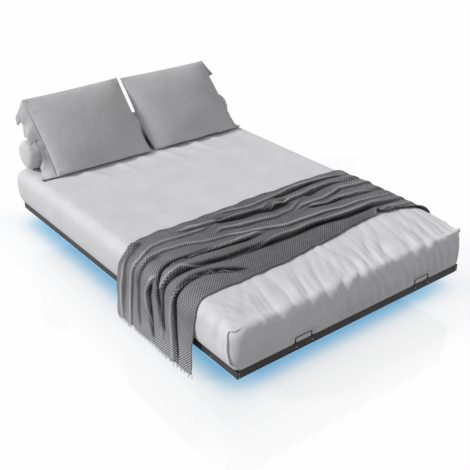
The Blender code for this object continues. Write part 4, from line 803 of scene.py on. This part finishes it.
# Each valley: how much of the height it takes, its half width, and its line
THROW_VALLEYS = (
    (0.95, 0.013, ((0.130, -0.225), (0.180, -0.229), (0.261, -0.228), (0.419, -0.212),
                   (0.555, -0.216), (0.660, -0.240))),
    (0.95, 0.026, ((-0.270, -0.268), (-0.226, -0.272), (-0.132, -0.294), (-0.020, -0.296),
                   (0.054, -0.322), (0.150, -0.310), (0.200, -0.300))),
    (0.95, 0.013, ((-0.990, -0.540), (-0.914, -0.534), (-0.867, -0.524), (-0.816, -0.518),
                   (-0.770, -0.524), (-0.710, -0.480), (-0.660, -0.462), (-0.590, -0.452),
                   (-0.489, -0.466), (-0.385, -0.484), (-0.282, -0.496), (-0.180, -0.500))),
    (1.00, 0.017, ((-0.780, -0.552), (-0.730, -0.560), (-0.686, -0.556), (-0.605, -0.545),
                   (-0.506, -0.560), (-0.411, -0.579), (-0.296, -0.584), (-0.189, -0.592),
                   (-0.067, -0.594), (0.067, -0.592), (0.195, -0.598), (0.308, -0.618),
                   (0.452, -0.618), (0.589, -0.630), (0.760, -0.650))),
    (1.00, 0.014, ((-1.115, -0.655), (-1.015, -0.656), (-0.957, -0.650), (-0.879, -0.647),
                   (-0.790, -0.650), (-0.720, -0.646), (-0.668, -0.629), (-0.600, -0.618),
                   (-0.508, -0.640), (-0.438, -0.690), (-0.390, -0.712))),
    (0.80, 0.016, ((-1.080, -0.455), (-0.930, -0.446), (-0.840, -0.440), (-0.760, -0.468))),
    (0.40, 0.015, ((-1.080, -0.350), (-0.950, -0.345), (-0.830, -0.350), (-0.740, -0.372),
                   (-0.640, -0.372))),
    (0.28, 0.016, ((-1.080, -0.205), (-0.950, -0.215), (-0.820, -0.232), (-0.720, -0.250),
                   (-0.640, -0.205))),
    (0.75, 0.016, ((0.200, -0.415), (0.330, -0.445), (0.460, -0.460), (0.600, -0.480),
                   (0.750, -0.500))),
    (0.70, 0.014, ((0.280, -0.318), (0.400, -0.300), (0.520, -0.286), (0.640, -0.305),
                   (0.760, -0.320))),
    (0.70, 0.013, ((-0.640, -0.545), (-0.690, -0.560), (-0.780, -0.556), (-0.880, -0.552),
                   (-0.990, -0.556))),
)
# Crests that stay high to the right hem, by their place in the list
LONG_CRESTS = (3, 5)
THROW_LEFT_HEM = -1.093
THROW_RIGHT_HEM = 0.815
# Distance from the throw's head edge to its foot edge
THROW_SPAN = 0.6


def throw_base(run):
    """Point of the section under the throw, and its outward normal, for signed runs from the middle.

    The section goes over the bed's edge as the bedding does, and then straight down."""
    edge = [(TOP_X + out, height) for out, _, height in SECTION[1:5]]
    curve, _ = through([(TOP_X, BED_TOP)] + edge, 60)
    line = np.vstack([[(0.0, BED_TOP)], curve, [(edge[-1][0], 0.0)]])
    steps = np.diff(line, axis=0)
    normals = unit(np.stack([-steps[:, 1], steps[:, 0]], -1))
    at_points = np.vstack([normals[:1], (normals[:-1] + normals[1:]) / 2, normals[-1:]])
    along = run_along(line)
    x, z, n_x, n_z = (np.interp(np.abs(run), along, column) for column in (*line.T, *at_points.T))
    size = np.hypot(n_x, n_z)
    side = np.where(run < 0, -1.0, 1.0)
    return side * x, z, side * n_x / size, n_z / size


def brought_forward(line, height):
    """A traced crest moved to its foot, because a raised crest shows further up the picture."""
    line = np.asarray(line, float)
    hang = smooth_step(-line[:, 0], 0.66, 0.80)
    lift = 0.9 * height + 0.0075 - 0.0125
    # how far a lifted point seems to move, for each metre of lift, on the bed and where it hangs
    on_bed, on_side = np.array([-1.14, -1.46]), np.array([0.87, -1.28])
    return line + lift * (on_bed * (1 - hang[:, None]) + on_side * hang[:, None])


def throw_rise(run, place, across):
    """How far the throw stands off the bedding, and a tone that paints a highlight on crests and shade in
    valleys.
    """
    points = np.stack([run, place + 0.004 * soft_noise(run * 9, place * 7, 41)], -1)
    total = np.zeros(len(points))
    painted_crest_highlight = np.zeros(len(points))
    painted_valley_shade = np.zeros(len(points))
    trough = np.ones(len(points))
    lines = [brought_forward(line, height) for height, _, line in THROW_CRESTS]
    crests = zip(THROW_CRESTS, to_lines(points, lines))
    for order, ((height, width, line), (gap, share)) in enumerate(crests):
        size = 0.75 + 0.42 * soft_noise(run * 3.4 + 0.5, 2.0 * order + 0.5, 44)
        size *= 1 - (0.2 if order in LONG_CRESTS else 0.6) * smooth_step(run, 0.42, 0.70)
        # a crest that ends on the bed fades out there
        if line[0][0] > -1.0:
            size *= 0.06 + 0.94 * smooth_step(share, 0.0, 0.16)
        if line[-1][0] < 0.69:
            size *= 0.06 + 0.94 * (1 - smooth_step(share, 0.84, 1.0))
        # a fold leans towards the foot: behind its crest a long slope, before it a steep one and
        # a trough
        slope, steepness = np.where(gap > 0, [[2.2 * width], [1.0]], [[0.0080], [1.8]])
        total += (height * size * np.exp(-np.abs(gap / slope) ** steepness)) ** 3
        painted_crest_highlight = np.maximum(painted_crest_highlight, size * hill(gap, 0.0005, 0.0042))
        low = 0.50 * size * hill(gap, -0.0140, 0.0065)
        trough *= 1 - low
        painted_valley_shade = np.maximum(painted_valley_shade, low)
    rise = 0.0080 + 0.0022 * soft_noise(run * 6, place * 14, 42)
    rise += 0.0014 * soft_noise(run * 14, place * 48, 43)
    rise = rise * trough + np.cbrt(total) * (1 - 0.45 * smooth_step(-run, 0.86, 1.02))
    valleys = [np.asarray(line) + (0.008, 0.013) for _, _, line in THROW_VALLEYS]
    for (depth, width, _), (gap, share) in zip(THROW_VALLEYS, to_lines(points, valleys)):
        size = depth * plateau(share, 0.0, 0.10, 0.90, 1.0) * (1 - 0.4 * smooth_step(run, 0.36, 0.58))
        rise *= 1 - size * hill(gap, 0, 0.75 * width)
        painted_valley_shade = np.maximum(painted_valley_shade, 1.2 * size * hill(gap, 0, 0.85 * width))
    # the foot edge lies close to the sheet, and the head edge lifts a little
    from_head, from_foot = THROW_SPAN * across, THROW_SPAN * (1 - across)
    rise *= 1 - 0.70 * hill(from_foot, 0, 0.030)
    rise += 0.003 * hill(from_head, 0, 0.012)
    rise += smooth_step(-run, 0.80, 1.0) * (0.004 + 0.0015 * np.sin(34 * place))
    # the hem curls up at the right, and pinches stand over the bed's left edge and at the foot hem
    rise += 0.013 * hill(from_foot, 0, 0.018) * smooth_step(run, 0.40, 0.50)
    rise += 0.014 * hill(run, -0.690, 0.030) * hill(place, -0.200, 0.014)
    rise += 0.011 * hill(run - 0.3 * (place + 0.66), 0.473, 0.013) * hill(place, -0.655, 0.030)
    # the tone: painted highlight on crests, painted shade in valleys
    return rise + 0.0014, 0.5 + 0.40 * painted_crest_highlight - 0.62 * painted_valley_shade * (1 - painted_crest_highlight)


def make_throw(cloth):
    """The knitted throw in its folds, over the bed and down its left side, with a short fringe."""
    runs = np.linspace(THROW_LEFT_HEM, THROW_RIGHT_HEM, 330)
    across = np.linspace(0, 1, 109)
    wobble = 0.004 * np.sin(21 * runs) + 0.003 * np.sin(47 * runs + 1)
    head = look_up(runs, THROW_HEAD_EDGE) + wobble
    foot = look_up(runs, THROW_FOOT_EDGE) + 0.6 * wobble[::-1]
    place = (head[:, None] * (1 - across) + foot[:, None] * across).ravel()
    run, share = np.repeat(runs, len(across)), np.tile(across, len(runs))
    x, z, n_x, n_z = throw_base(run)
    rise, tone = throw_rise(run, place, share)
    points = np.stack([x + n_x * rise, place, z + n_z * rise], -1)
    index = np.arange(len(points)).reshape(len(runs), len(across))
    throw = mesh_object("knitted_throw", points, grid_faces(index, flip=True), cloth)
    set_cloth_places(throw, np.stack([run, place], -1), tone)
    thicken(throw, 0.0035, offset=1.0)
    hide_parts("throw")
    make_fringe(cloth, points[index])


def make_fringe(cloth, rows):
    """Twisted yarn ends along both short hems."""
    random = np.random.RandomState(3)
    thickness, corners = 0.0021, 5
    turns = math.tau * np.arange(corners) / corners
    verts, faces, flat = [], [], []
    for hem, inner, sign in ((rows[0], rows[1], -1), (rows[-1], rows[-2], 1)):
        ring_way = thickness * np.stack([sign * np.sin(turns), np.cos(turns), 0 * turns], -1)
        for k in range(0, len(hem), 2):
            root = hem[k]
            along = (root - inner[k]) / np.linalg.norm(root - inner[k])
            length = min(0.024 + random.uniform(-0.005, 0.004), max(root[2] - 0.0015, 0.006))
            lean = np.array([random.uniform(-0.15, 0.15), random.uniform(-0.35, 0.35), 0])
            tip = root + (along + lean) * length
            tip[2] = max(tip[2], 0.0015)
            base = len(verts)
            for centre, size in ((root - along * 0.004, 1.0), ((root + tip) / 2, 1.25), (tip, 0.5)):
                verts += list(centre + ring_way * size)
                flat += [(k * 0.011, length * size)] * corners
            ring = base + np.arange(corners)
            for low in (ring, ring + corners):
                beside = np.roll(low, -1)
                faces += np.stack([low, beside, beside + corners, low + corners], -1).tolist()
            faces += [ring[::-1], ring + 2 * corners]
    fringe = mesh_object("throw_fringe", verts, faces, cloth)
    turn_outwards(fringe)
    # the fringe's paler yarn is given through the same tone
    set_cloth_places(fringe, flat, np.full(len(verts), 1.3))
    return fringe


# Bolster and pillows

BOLSTER_LOW, BOLSTER_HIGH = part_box("bolster")
BOLSTER_RADIUS = (BOLSTER_HIGH.y - BOLSTER_LOW.y) / 2 / math.cos(math.pi / 16)
BOLSTER_Y = (BOLSTER_LOW.y + BOLSTER_HIGH.y) / 2
BOLSTER_Z = BED_TOP + BOLSTER_RADIUS - 0.003
# Half length of the soft roll between the drawn-in ends
BOLSTER_HALF = 0.706


def make_bolster(cloth):
    """A long roll, pressed flat where it lies, with gathered ends."""
    half = BOLSTER_HALF
    # places along it and their shares of its radius, from the middle to one end, then to the other
    stations = [(x, 1.0) for x in np.linspace(0, half - 0.038, 52)]
    stations += [(half - 0.034 + 0.034 * math.sin(turn), math.cos(turn) ** 0.45)
                 for turn in np.linspace(0, 1.55, 18)]
    stations += [(half + 0.001, 0.12), (half + 0.001, 0.01)]
    stations = np.array([(-x, r) for x, r in reversed(stations[1:])] + stations)
    x, angle = np.meshgrid(stations[:, 0], math.tau * np.arange(64) / 64, indexing="ij")
    cos, sin = np.cos(angle), np.sin(angle)
    slim = 1 - 0.15 * smooth_step(np.abs(x), half - 0.16, half - 0.02)
    radius = BOLSTER_RADIUS * stations[:, 1:] * slim
    radius *= 1 + 0.016 * space_noise(x * 3, cos * 0.8, sin * 0.8) \
        + 0.006 * space_noise(x * 26, cos * 1.3, sin * 1.3 + 5)
    gathered = np.clip(np.abs(x) - half + 0.06, 0, None) / 0.06
    radius *= 1 + 0.02 * gathered * np.cos(11 * angle)
    height = np.maximum(BOLSTER_Z + radius * sin, BED_TOP + 0.0012)
    points = np.stack([x, BOLSTER_Y + radius * cos, height], -1)
    rings = np.arange(x.size).reshape(x.shape)
    faces = ring_faces(rings) + [rings[0], rings[-1][::-1]]
    bolster = mesh_object("bolster_roll", points.reshape(-1, 3), faces, cloth)
    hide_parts("bolster")


PILLOW_LEAN = math.radians(40.5)
PILLOW_WIDTH, PILLOW_LENGTH = 0.612, 0.489
# Where the pillows' lower edges stand on the bed
PILLOW_FOOT = 0.750
# How far a pillow's top leans to one side
PILLOW_SHIFT = {"left": -0.018, "right": -0.028}
# Inward bow of a pillow's left and right edges
PILLOW_WAIST = {"left": (0.011, 0.004), "right": (-0.009, 0.006)}


def place_pillow(local, centre, shift):
    """Lean a flat pillow on the bolster: local x across, y up the slope, z out of its front."""
    across, up, out = np.moveaxis(local, -1, 0)
    lean_y, lean_z = math.sin(PILLOW_LEAN), math.cos(PILLOW_LEAN)
    x = centre + across + shift * up / PILLOW_LENGTH
    y = PILLOW_FOOT + up * lean_y - out * lean_z
    # the left pillow's outer top corner droops
    droop = -0.0072 * np.clip(-x - 0.3, -0.3, 0.35) / 0.3 * (x < 0) * np.clip(up, 0, None) / PILLOW_LENGTH
    z = BED_TOP + 0.0062 + up * lean_z + out * lean_y + droop
    # the lower edge sags over the seam it stands on
    near_foot = np.exp(-np.clip(up, 0, None) / 0.040) * np.clip(out / 0.012, 0, 1)
    y = y - 0.032 * near_foot
    z = z + near_foot * (0.0040 + 0.0060 * soft_noise(x * 13, 0.5, 51))
    # pressed by the bolster behind it
    off_y, off_z = y - BOLSTER_Y, z - BOLSTER_Z
    along = off_y * lean_y + off_z * lean_z
    outward = off_z * lean_y - off_y * lean_z
    least = BOLSTER_RADIUS + 0.002
    needed = np.sqrt(np.clip(least ** 2 - along ** 2, 0, None))
    push = np.where(np.abs(along) < least, np.clip(needed - outward, 0, None), 0)
    return np.stack([x, y - push * lean_z, np.maximum(z + push * lean_y, BED_TOP + 0.0025)], -1)


def pillow_surface(columns, rows, front, back, shrink, seed, waist):
    """Grid points of a pillow's two faces in its own flat place.

    Waist is how far each side edge bows inwards."""
    a, b = np.meshgrid(*[0.25 * t + 0.75 * np.sin(t * math.pi / 2) for t in (
        np.linspace(-1, 1, columns + 1), np.linspace(-1, 1, rows + 1))], indexing="ij")
    half_w, half_l = PILLOW_WIDTH / 2 - shrink, PILLOW_LENGTH / 2 - shrink
    bow = np.where(a < 0, waist[0], waist[1])
    x = a * half_w - np.sign(a) * bow * np.abs(a) ** 3 * (1 - b ** 2) * (1 - 1.5 * b * (bow < 0))
    y = PILLOW_LENGTH / 2 + b * half_l * (1 - 0.014 * (1 - a ** 2))
    swell = ((1 - np.abs(a) ** 2.8) * (1 - np.abs(b) ** 2.8)) ** 0.68
    faces = []
    for sign, height in ((1, front), (-1, back)):
        rise = height * swell + 0.004 * swell * space_noise(x * 5, y * 5, seed + sign * 3.0)
        # puckers that run in from the seams
        for depth, along in (((1 - np.abs(a)) * half_w, b * half_l),
                             ((1 - np.abs(b)) * half_l, a * half_w)):
            ripple = space_noise(along * 34, seed + sign * 7.0, depth * 5)
            rise += 0.0042 * ripple * np.exp(-depth / 0.045) * smooth_step(depth, 0.0, 0.012)
        faces.append(np.stack([x, y, sign * (rise + 0.0035 - shrink * 0.3)], -1))
    return faces


def joined(front, back, is_open=False):
    """Points and faces of a piece from two grids, joined all round, or on all sides but the last."""
    top = np.arange(front[..., 0].size).reshape(front.shape[:2])
    layers = (top, top + top.size)
    rims = [np.concatenate([layer[::-1, 0], layer[0, 1:], layer[1:, -1]]
                           + ([] if is_open else [layer[-1, -2::-1]])) for layer in layers]
    faces = grid_faces(layers[0])
    faces += grid_faces(layers[1], flip=True) + grid_faces(np.array(rims), flip=True)
    return np.vstack([front.reshape(-1, 3), back.reshape(-1, 3)]), faces


def make_pillow(name, centre, side, case_cloth, fill_cloth, seed):
    """A pillow and the case drawn over it, whose open mouth is to its left (side -1) or right (1)."""
    shift, waist = PILLOW_SHIFT[name], PILLOW_WAIST[name]
    points, faces = joined(*pillow_surface(
        columns=30, rows=26, front=0.060, back=0.034, shrink=0.006, seed=seed, waist=waist))
    points = place_pillow(points, centre, shift)
    insert = mesh_object(f"pillow_{name}_core", points, faces, fill_cloth)
    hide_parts("pillow_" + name)
    both_faces = pillow_surface(
        columns=84, rows=72, front=0.066, back=0.040, shrink=0.0, seed=seed, waist=waist)
    layers = [add_mouth(place_pillow(grid[::side], centre, shift), hem[name])
              for grid, hem in zip(both_faces, (MOUTH_FRONT, MOUTH_BACK))]
    points, faces = joined(*layers, is_open=True)
    if side < 0:
        faces = [face[::-1] for face in faces]
    case = mesh_object(f"pillowcase_{name}_cloth", points, faces, case_cloth)
    turn_outwards(case)
    thicken(case, 0.0014)
    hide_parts("pillowcase_" + name)


# Where the case's limp mouth ends beyond the seam: share of the way up the seam, then the way on from
# it in the bed's own axes, for the front and the back layer of each case
MOUTH_FRONT = {
    "left": ((0.00, -0.096, 0.012, -0.002), (0.05, -0.070, 0.078, -0.020), (0.12, -0.055, 0.088, -0.021),
             (0.20, -0.048, 0.038, 0.008), (0.33, -0.042, 0.009, 0.015), (0.46, -0.038, 0.026, 0.014),
             (0.52, -0.076, -0.033, -0.030), (0.60, -0.078, -0.021, -0.037), (0.66, -0.051, 0.025, -0.043),
             (0.75, -0.041, 0.022, -0.043), (0.90, -0.018, 0.014, -0.024), (1.00, 0.000, 0.006, -0.016)),
    "right": ((0.00, 0.045, 0.012, 0.000), (0.10, 0.022, 0.040, -0.012), (0.25, 0.002, 0.060, -0.050),
              (0.50, 0.000, 0.050, -0.080), (0.75, 0.002, 0.035, -0.090), (0.88, 0.030, 0.022, -0.100),
              (1.00, 0.090, 0.016, -0.100)),
}
MOUTH_BACK = {
    "left": ((0.00, -0.092, 0.018, 0.001), (0.10, -0.060, 0.060, -0.010), (0.35, -0.040, 0.060, -0.020),
             (0.58, -0.052, 0.056, -0.058), (0.66, -0.041, 0.060, -0.050), (0.77, -0.026, 0.055, -0.072),
             (0.83, -0.037, 0.061, -0.116), (0.88, -0.039, 0.061, -0.089), (0.95, -0.022, 0.048, -0.084),
             (1.00, -0.004, 0.022, -0.043)),
    "right": ((0.00, 0.043, 0.022, 0.002), (0.10, 0.026, 0.062, -0.006), (0.25, 0.006, 0.085, -0.040),
              (0.50, 0.004, 0.070, -0.072), (0.75, 0.010, 0.052, -0.092), (0.88, 0.042, 0.036, -0.112),
              (1.00, 0.106, 0.026, -0.110)),
}


# Where the steps of a mouth's cloth lie between its seam (0) and its hem (1), closer by the seam
MOUTH_STEPS = (0.03, 0.06, 0.10, 0.20, 0.30, 0.40, 0.50, 0.60, 0.70, 0.80, 0.90, 1.00)


def add_mouth(grid, hem):
    """Carry a face of the case on past the seam as a limp open mouth that ends at the given hem."""
    seam = grid[-1]
    along = np.linspace(0, 1, grid.shape[1])
    way, _ = through(hem, 200)
    way = np.stack([np.interp(along, way[:, 0], way[:, k]) for k in (1, 2, 3)], -1)
    sign = math.copysign(1.0, hem[0][1])
    reach = np.linalg.norm(way, axis=1)
    # it leaves the seam outwards and then falls
    outward = np.stack([sign * reach * (0.60 - 0.52 * along), 0.10 * reach, -0.10 * reach * along], -1)
    rows = []
    for t in MOUTH_STEPS:
        row = seam + 2 * t * (1 - t) * outward + t * t * way
        # stitched groove along the seam
        row += np.array([0, 0.005, -0.004]) * hill(t, 0.03, 0.02) * smooth_step(along, 0, 0.12)[:, None]
        ripple = np.sin(along * 23 + 2.5 * t) + 0.6 * np.sin(along * 41 + 1)
        row[:, 0] += sign * 0.0035 * ripple * t * np.sin(math.pi * along) ** 0.5
        row[:, 1] += 0.0025 * np.cos(along * 31) * t * np.sin(math.pi * along)
        rows.append(clear_of_bolster(row))
    return np.concatenate([grid, np.array(rows)])


def clear_of_bolster(points):
    """Move points out of the bolster and off the bed."""
    x, y, z = points.T
    off_y, off_z = y - BOLSTER_Y, z - BOLSTER_Z
    gap = np.hypot(off_y, off_z)
    scale = np.where(np.abs(x) < BOLSTER_HALF + 0.01, np.maximum(gap, BOLSTER_RADIUS + 0.003), gap) / gap
    height = np.maximum(BOLSTER_Z + off_z * scale, BED_TOP + 0.002)
    return np.stack([x, BOLSTER_Y + off_y * scale, height], -1)


# Finishes on the frame's own pieces

def dress_frame():
    """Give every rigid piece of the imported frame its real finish."""
    finishes = {
        "powder_coat": powder_coat("fine-textured black powder coat", "373433", "403D3C",
                                   grain=260.0),
        "base_coat": powder_coat("matt black powder coat", "242425", "2E2D2E", grain=200.0),
        "zinc": zinc_plate(),
        "rubber": moulded("moulded rubber", "1B1B1B", "242424",
                          roughness=0.85, grain=900.0, depth=0.0004),
        "silicone": lit_silicone(),
        "case_plastic": moulded("spark-grained ABS", "1E1E20", "262628",
                                roughness=0.45, grain=1400.0, depth=0.0002),
        "button_plastic": moulded("satin grey ABS", "A4A4A6", "B2B2B4",
                                  roughness=0.38, grain=1800.0, depth=0.0001),
        "board_resin": circuit_board(),
    }
    slots = {part["node"]: part["material_slot"] for part in frame["record"]["subparts"]}
    for name, node in frame["nodes"].items():
        finish = finishes.get(slots.get(name))
        if finish:
            node.data.materials.clear()
            node.data.materials.append(finish)


# Floor, light and camera

def make_floor():
    """White floor that takes the object's shadow, with the blue light of the strips beneath the rim painted
    on as a glow, deepest blue under the rim where shade falls.
    """
    bpy.ops.object.select_all(action="DESELECT")
    bpy.ops.mesh.primitive_plane_add(size=60, location=(0, 0, 0))
    floor = bpy.context.object
    floor.name = "floor"
    material = bpy.data.materials.new("white lacquered floor")
    material.use_nodes = True
    material.node_tree.nodes.clear()
    place = add_node(material, "TexCoord", output="Object")
    # the painted glow reaches past the rim at the left, the right and the head
    beyond = []
    for axis, low, high in (("X", RIM_X + 0.043, RIM_X + 0.19), ("Y", RIM_Y, RIM_Y + 0.25)):
        part = add_node(material, "SeparateXYZ", [place], output=axis)
        beyond.append(add_node(material, "Math", [
            add_node(material, "Math", [part, high], operation="SUBTRACT"),
            add_node(material, "Math", [-low, part], operation="SUBTRACT")], operation="MAXIMUM"))
    squares = [add_node(material, "Math", [
        add_node(material, "Math", [side, 0.0], operation="MAXIMUM"), 2.0], operation="POWER")
        for side in beyond]
    beyond_it = add_node(material, "Math", [add_node(material, "Math", squares, operation="ADD")],
                         operation="SQRT")
    within_it = add_node(material, "Math", [
        add_node(material, "Math", [*beyond, 0.25], operation="SMOOTH_MAX"), 0.0], operation="MINIMUM")
    # signed distance to the rim's plan, from 0.25 m within it to 0.25 m beyond it
    signed = add_node(material, "Math", [beyond_it, within_it], operation="ADD")
    level = add_node(material, "MapRange", {"Value": signed, "From Min": -0.25, "From Max": 0.25})
    # painted glow and shade: deep blue under the rim, fading to white beyond it
    painted_glow = add_node(material, "ValToRGB", [level], stops=(
        (0.00, "5AA9DB"), (0.20, "82BCE1"), (0.27, "A2CCE6"), (0.33, "C6DDEB"), (0.39, "E4EDF4"),
        (0.47, "F4F6F9"), (0.62, "FCFCFD"), (0.90, "FFFFFF")))
    by_camera, by_gloss, through_glass = [add_node(material, "LightPath", output=f"Is {ray} Ray")
                                          for ray in ("Camera", "Glossy", "Transmission")]
    seen = add_node(material, "Math", [by_camera, by_gloss], operation="MAXIMUM")
    seen = add_node(material, "Math", [seen, through_glass], operation="MAXIMUM")
    # the eye sees a white floor, and the object gets back only the light of a pale grey one
    own = add_node(material, "Mix", {"Factor": seen, "A": 0.37, "B": 0.95})
    painted = add_node(material, "MixShader", [
        add_node(material, "Math", [seen, 0.90], operation="MULTIPLY"),
        add_node(material, "BsdfDiffuse", {"Color": own}),
        add_node(material, "Emission", {"Color": painted_glow, "Strength": 1.0})])
    polished = add_node(material, "MixShader", [
        add_node(material, "Math", [by_camera, 0.05], operation="MULTIPLY"), painted,
        add_node(material, "BsdfGlossy", {"Color": srgb("FFFFFF"), "Roughness": 0.06})])
    fill(material.node_tree.nodes.new("ShaderNodeOutputMaterial"), {"Surface": polished})
    floor.data.materials.append(material)


def make_light():
    """A large, soft and distant key from behind the left side, and an even pale surround."""
    data = bpy.data.lights.new("key", "SUN")
    data.energy = 2.45
    data.angle = math.radians(9)
    lamp = bpy.data.objects.new("key", data)
    lamp.rotation_euler = Vector((0.70, -0.30, -0.55)).to_track_quat("-Z", "Y").to_euler()
    bpy.context.scene.collection.objects.link(lamp)
    world = bpy.data.worlds.new("studio")
    bpy.context.scene.world = world
    world.use_nodes = True
    # the surround looks white, and lights the bed at half of that
    seen = add_node(world, "Math", [add_node(world, "LightPath", output=f"Is {ray} Ray")
                                    for ray in ("Camera", "Glossy")], operation="MAXIMUM")
    fill(world.node_tree.nodes["Background"], {
        "Color": (1, 1, 1, 1),
        "Strength": add_node(world, "MapRange", {"Value": seen, "To Min": 0.50, "To Max": 1.0})})


def make_camera():
    """The photograph's view, from above the left foot corner."""
    data = bpy.data.cameras.new("camera")
    data.lens = 59.75
    data.sensor_width = 36
    data.clip_end = 100
    camera = bpy.data.objects.new("camera", data)
    camera.location = (-2.2808, -3.0095, 2.2125)
    camera.rotation_euler = (math.radians(90 - 28.312), 0, math.radians(-38.002))
    bpy.context.scene.collection.objects.link(camera)
    bpy.context.scene.camera = camera
    bpy.context.scene.view_settings.view_transform = "Standard"


dress_frame()
sheet_cloth = percale("washed cotton percale, cool light grey", "C9C9CC", "D2D2D4")
case_cloth = percale("washed cotton percale, mid grey", "B4B3B5", "BDBCBE", scale=1.3)
tick_cloth = ticking()
knit_cloth = chunky_knit()
make_mattress(tick_cloth)
make_bed_sheet(sheet_cloth)
make_throw(knit_cloth)
make_bolster(sheet_cloth)
make_pillow("left", -0.296, -1, case_cloth, tick_cloth, seed=2.0)
make_pillow("right", 0.352, 1, case_cloth, tick_cloth, seed=9.0)
make_floor()
make_light()
make_camera()
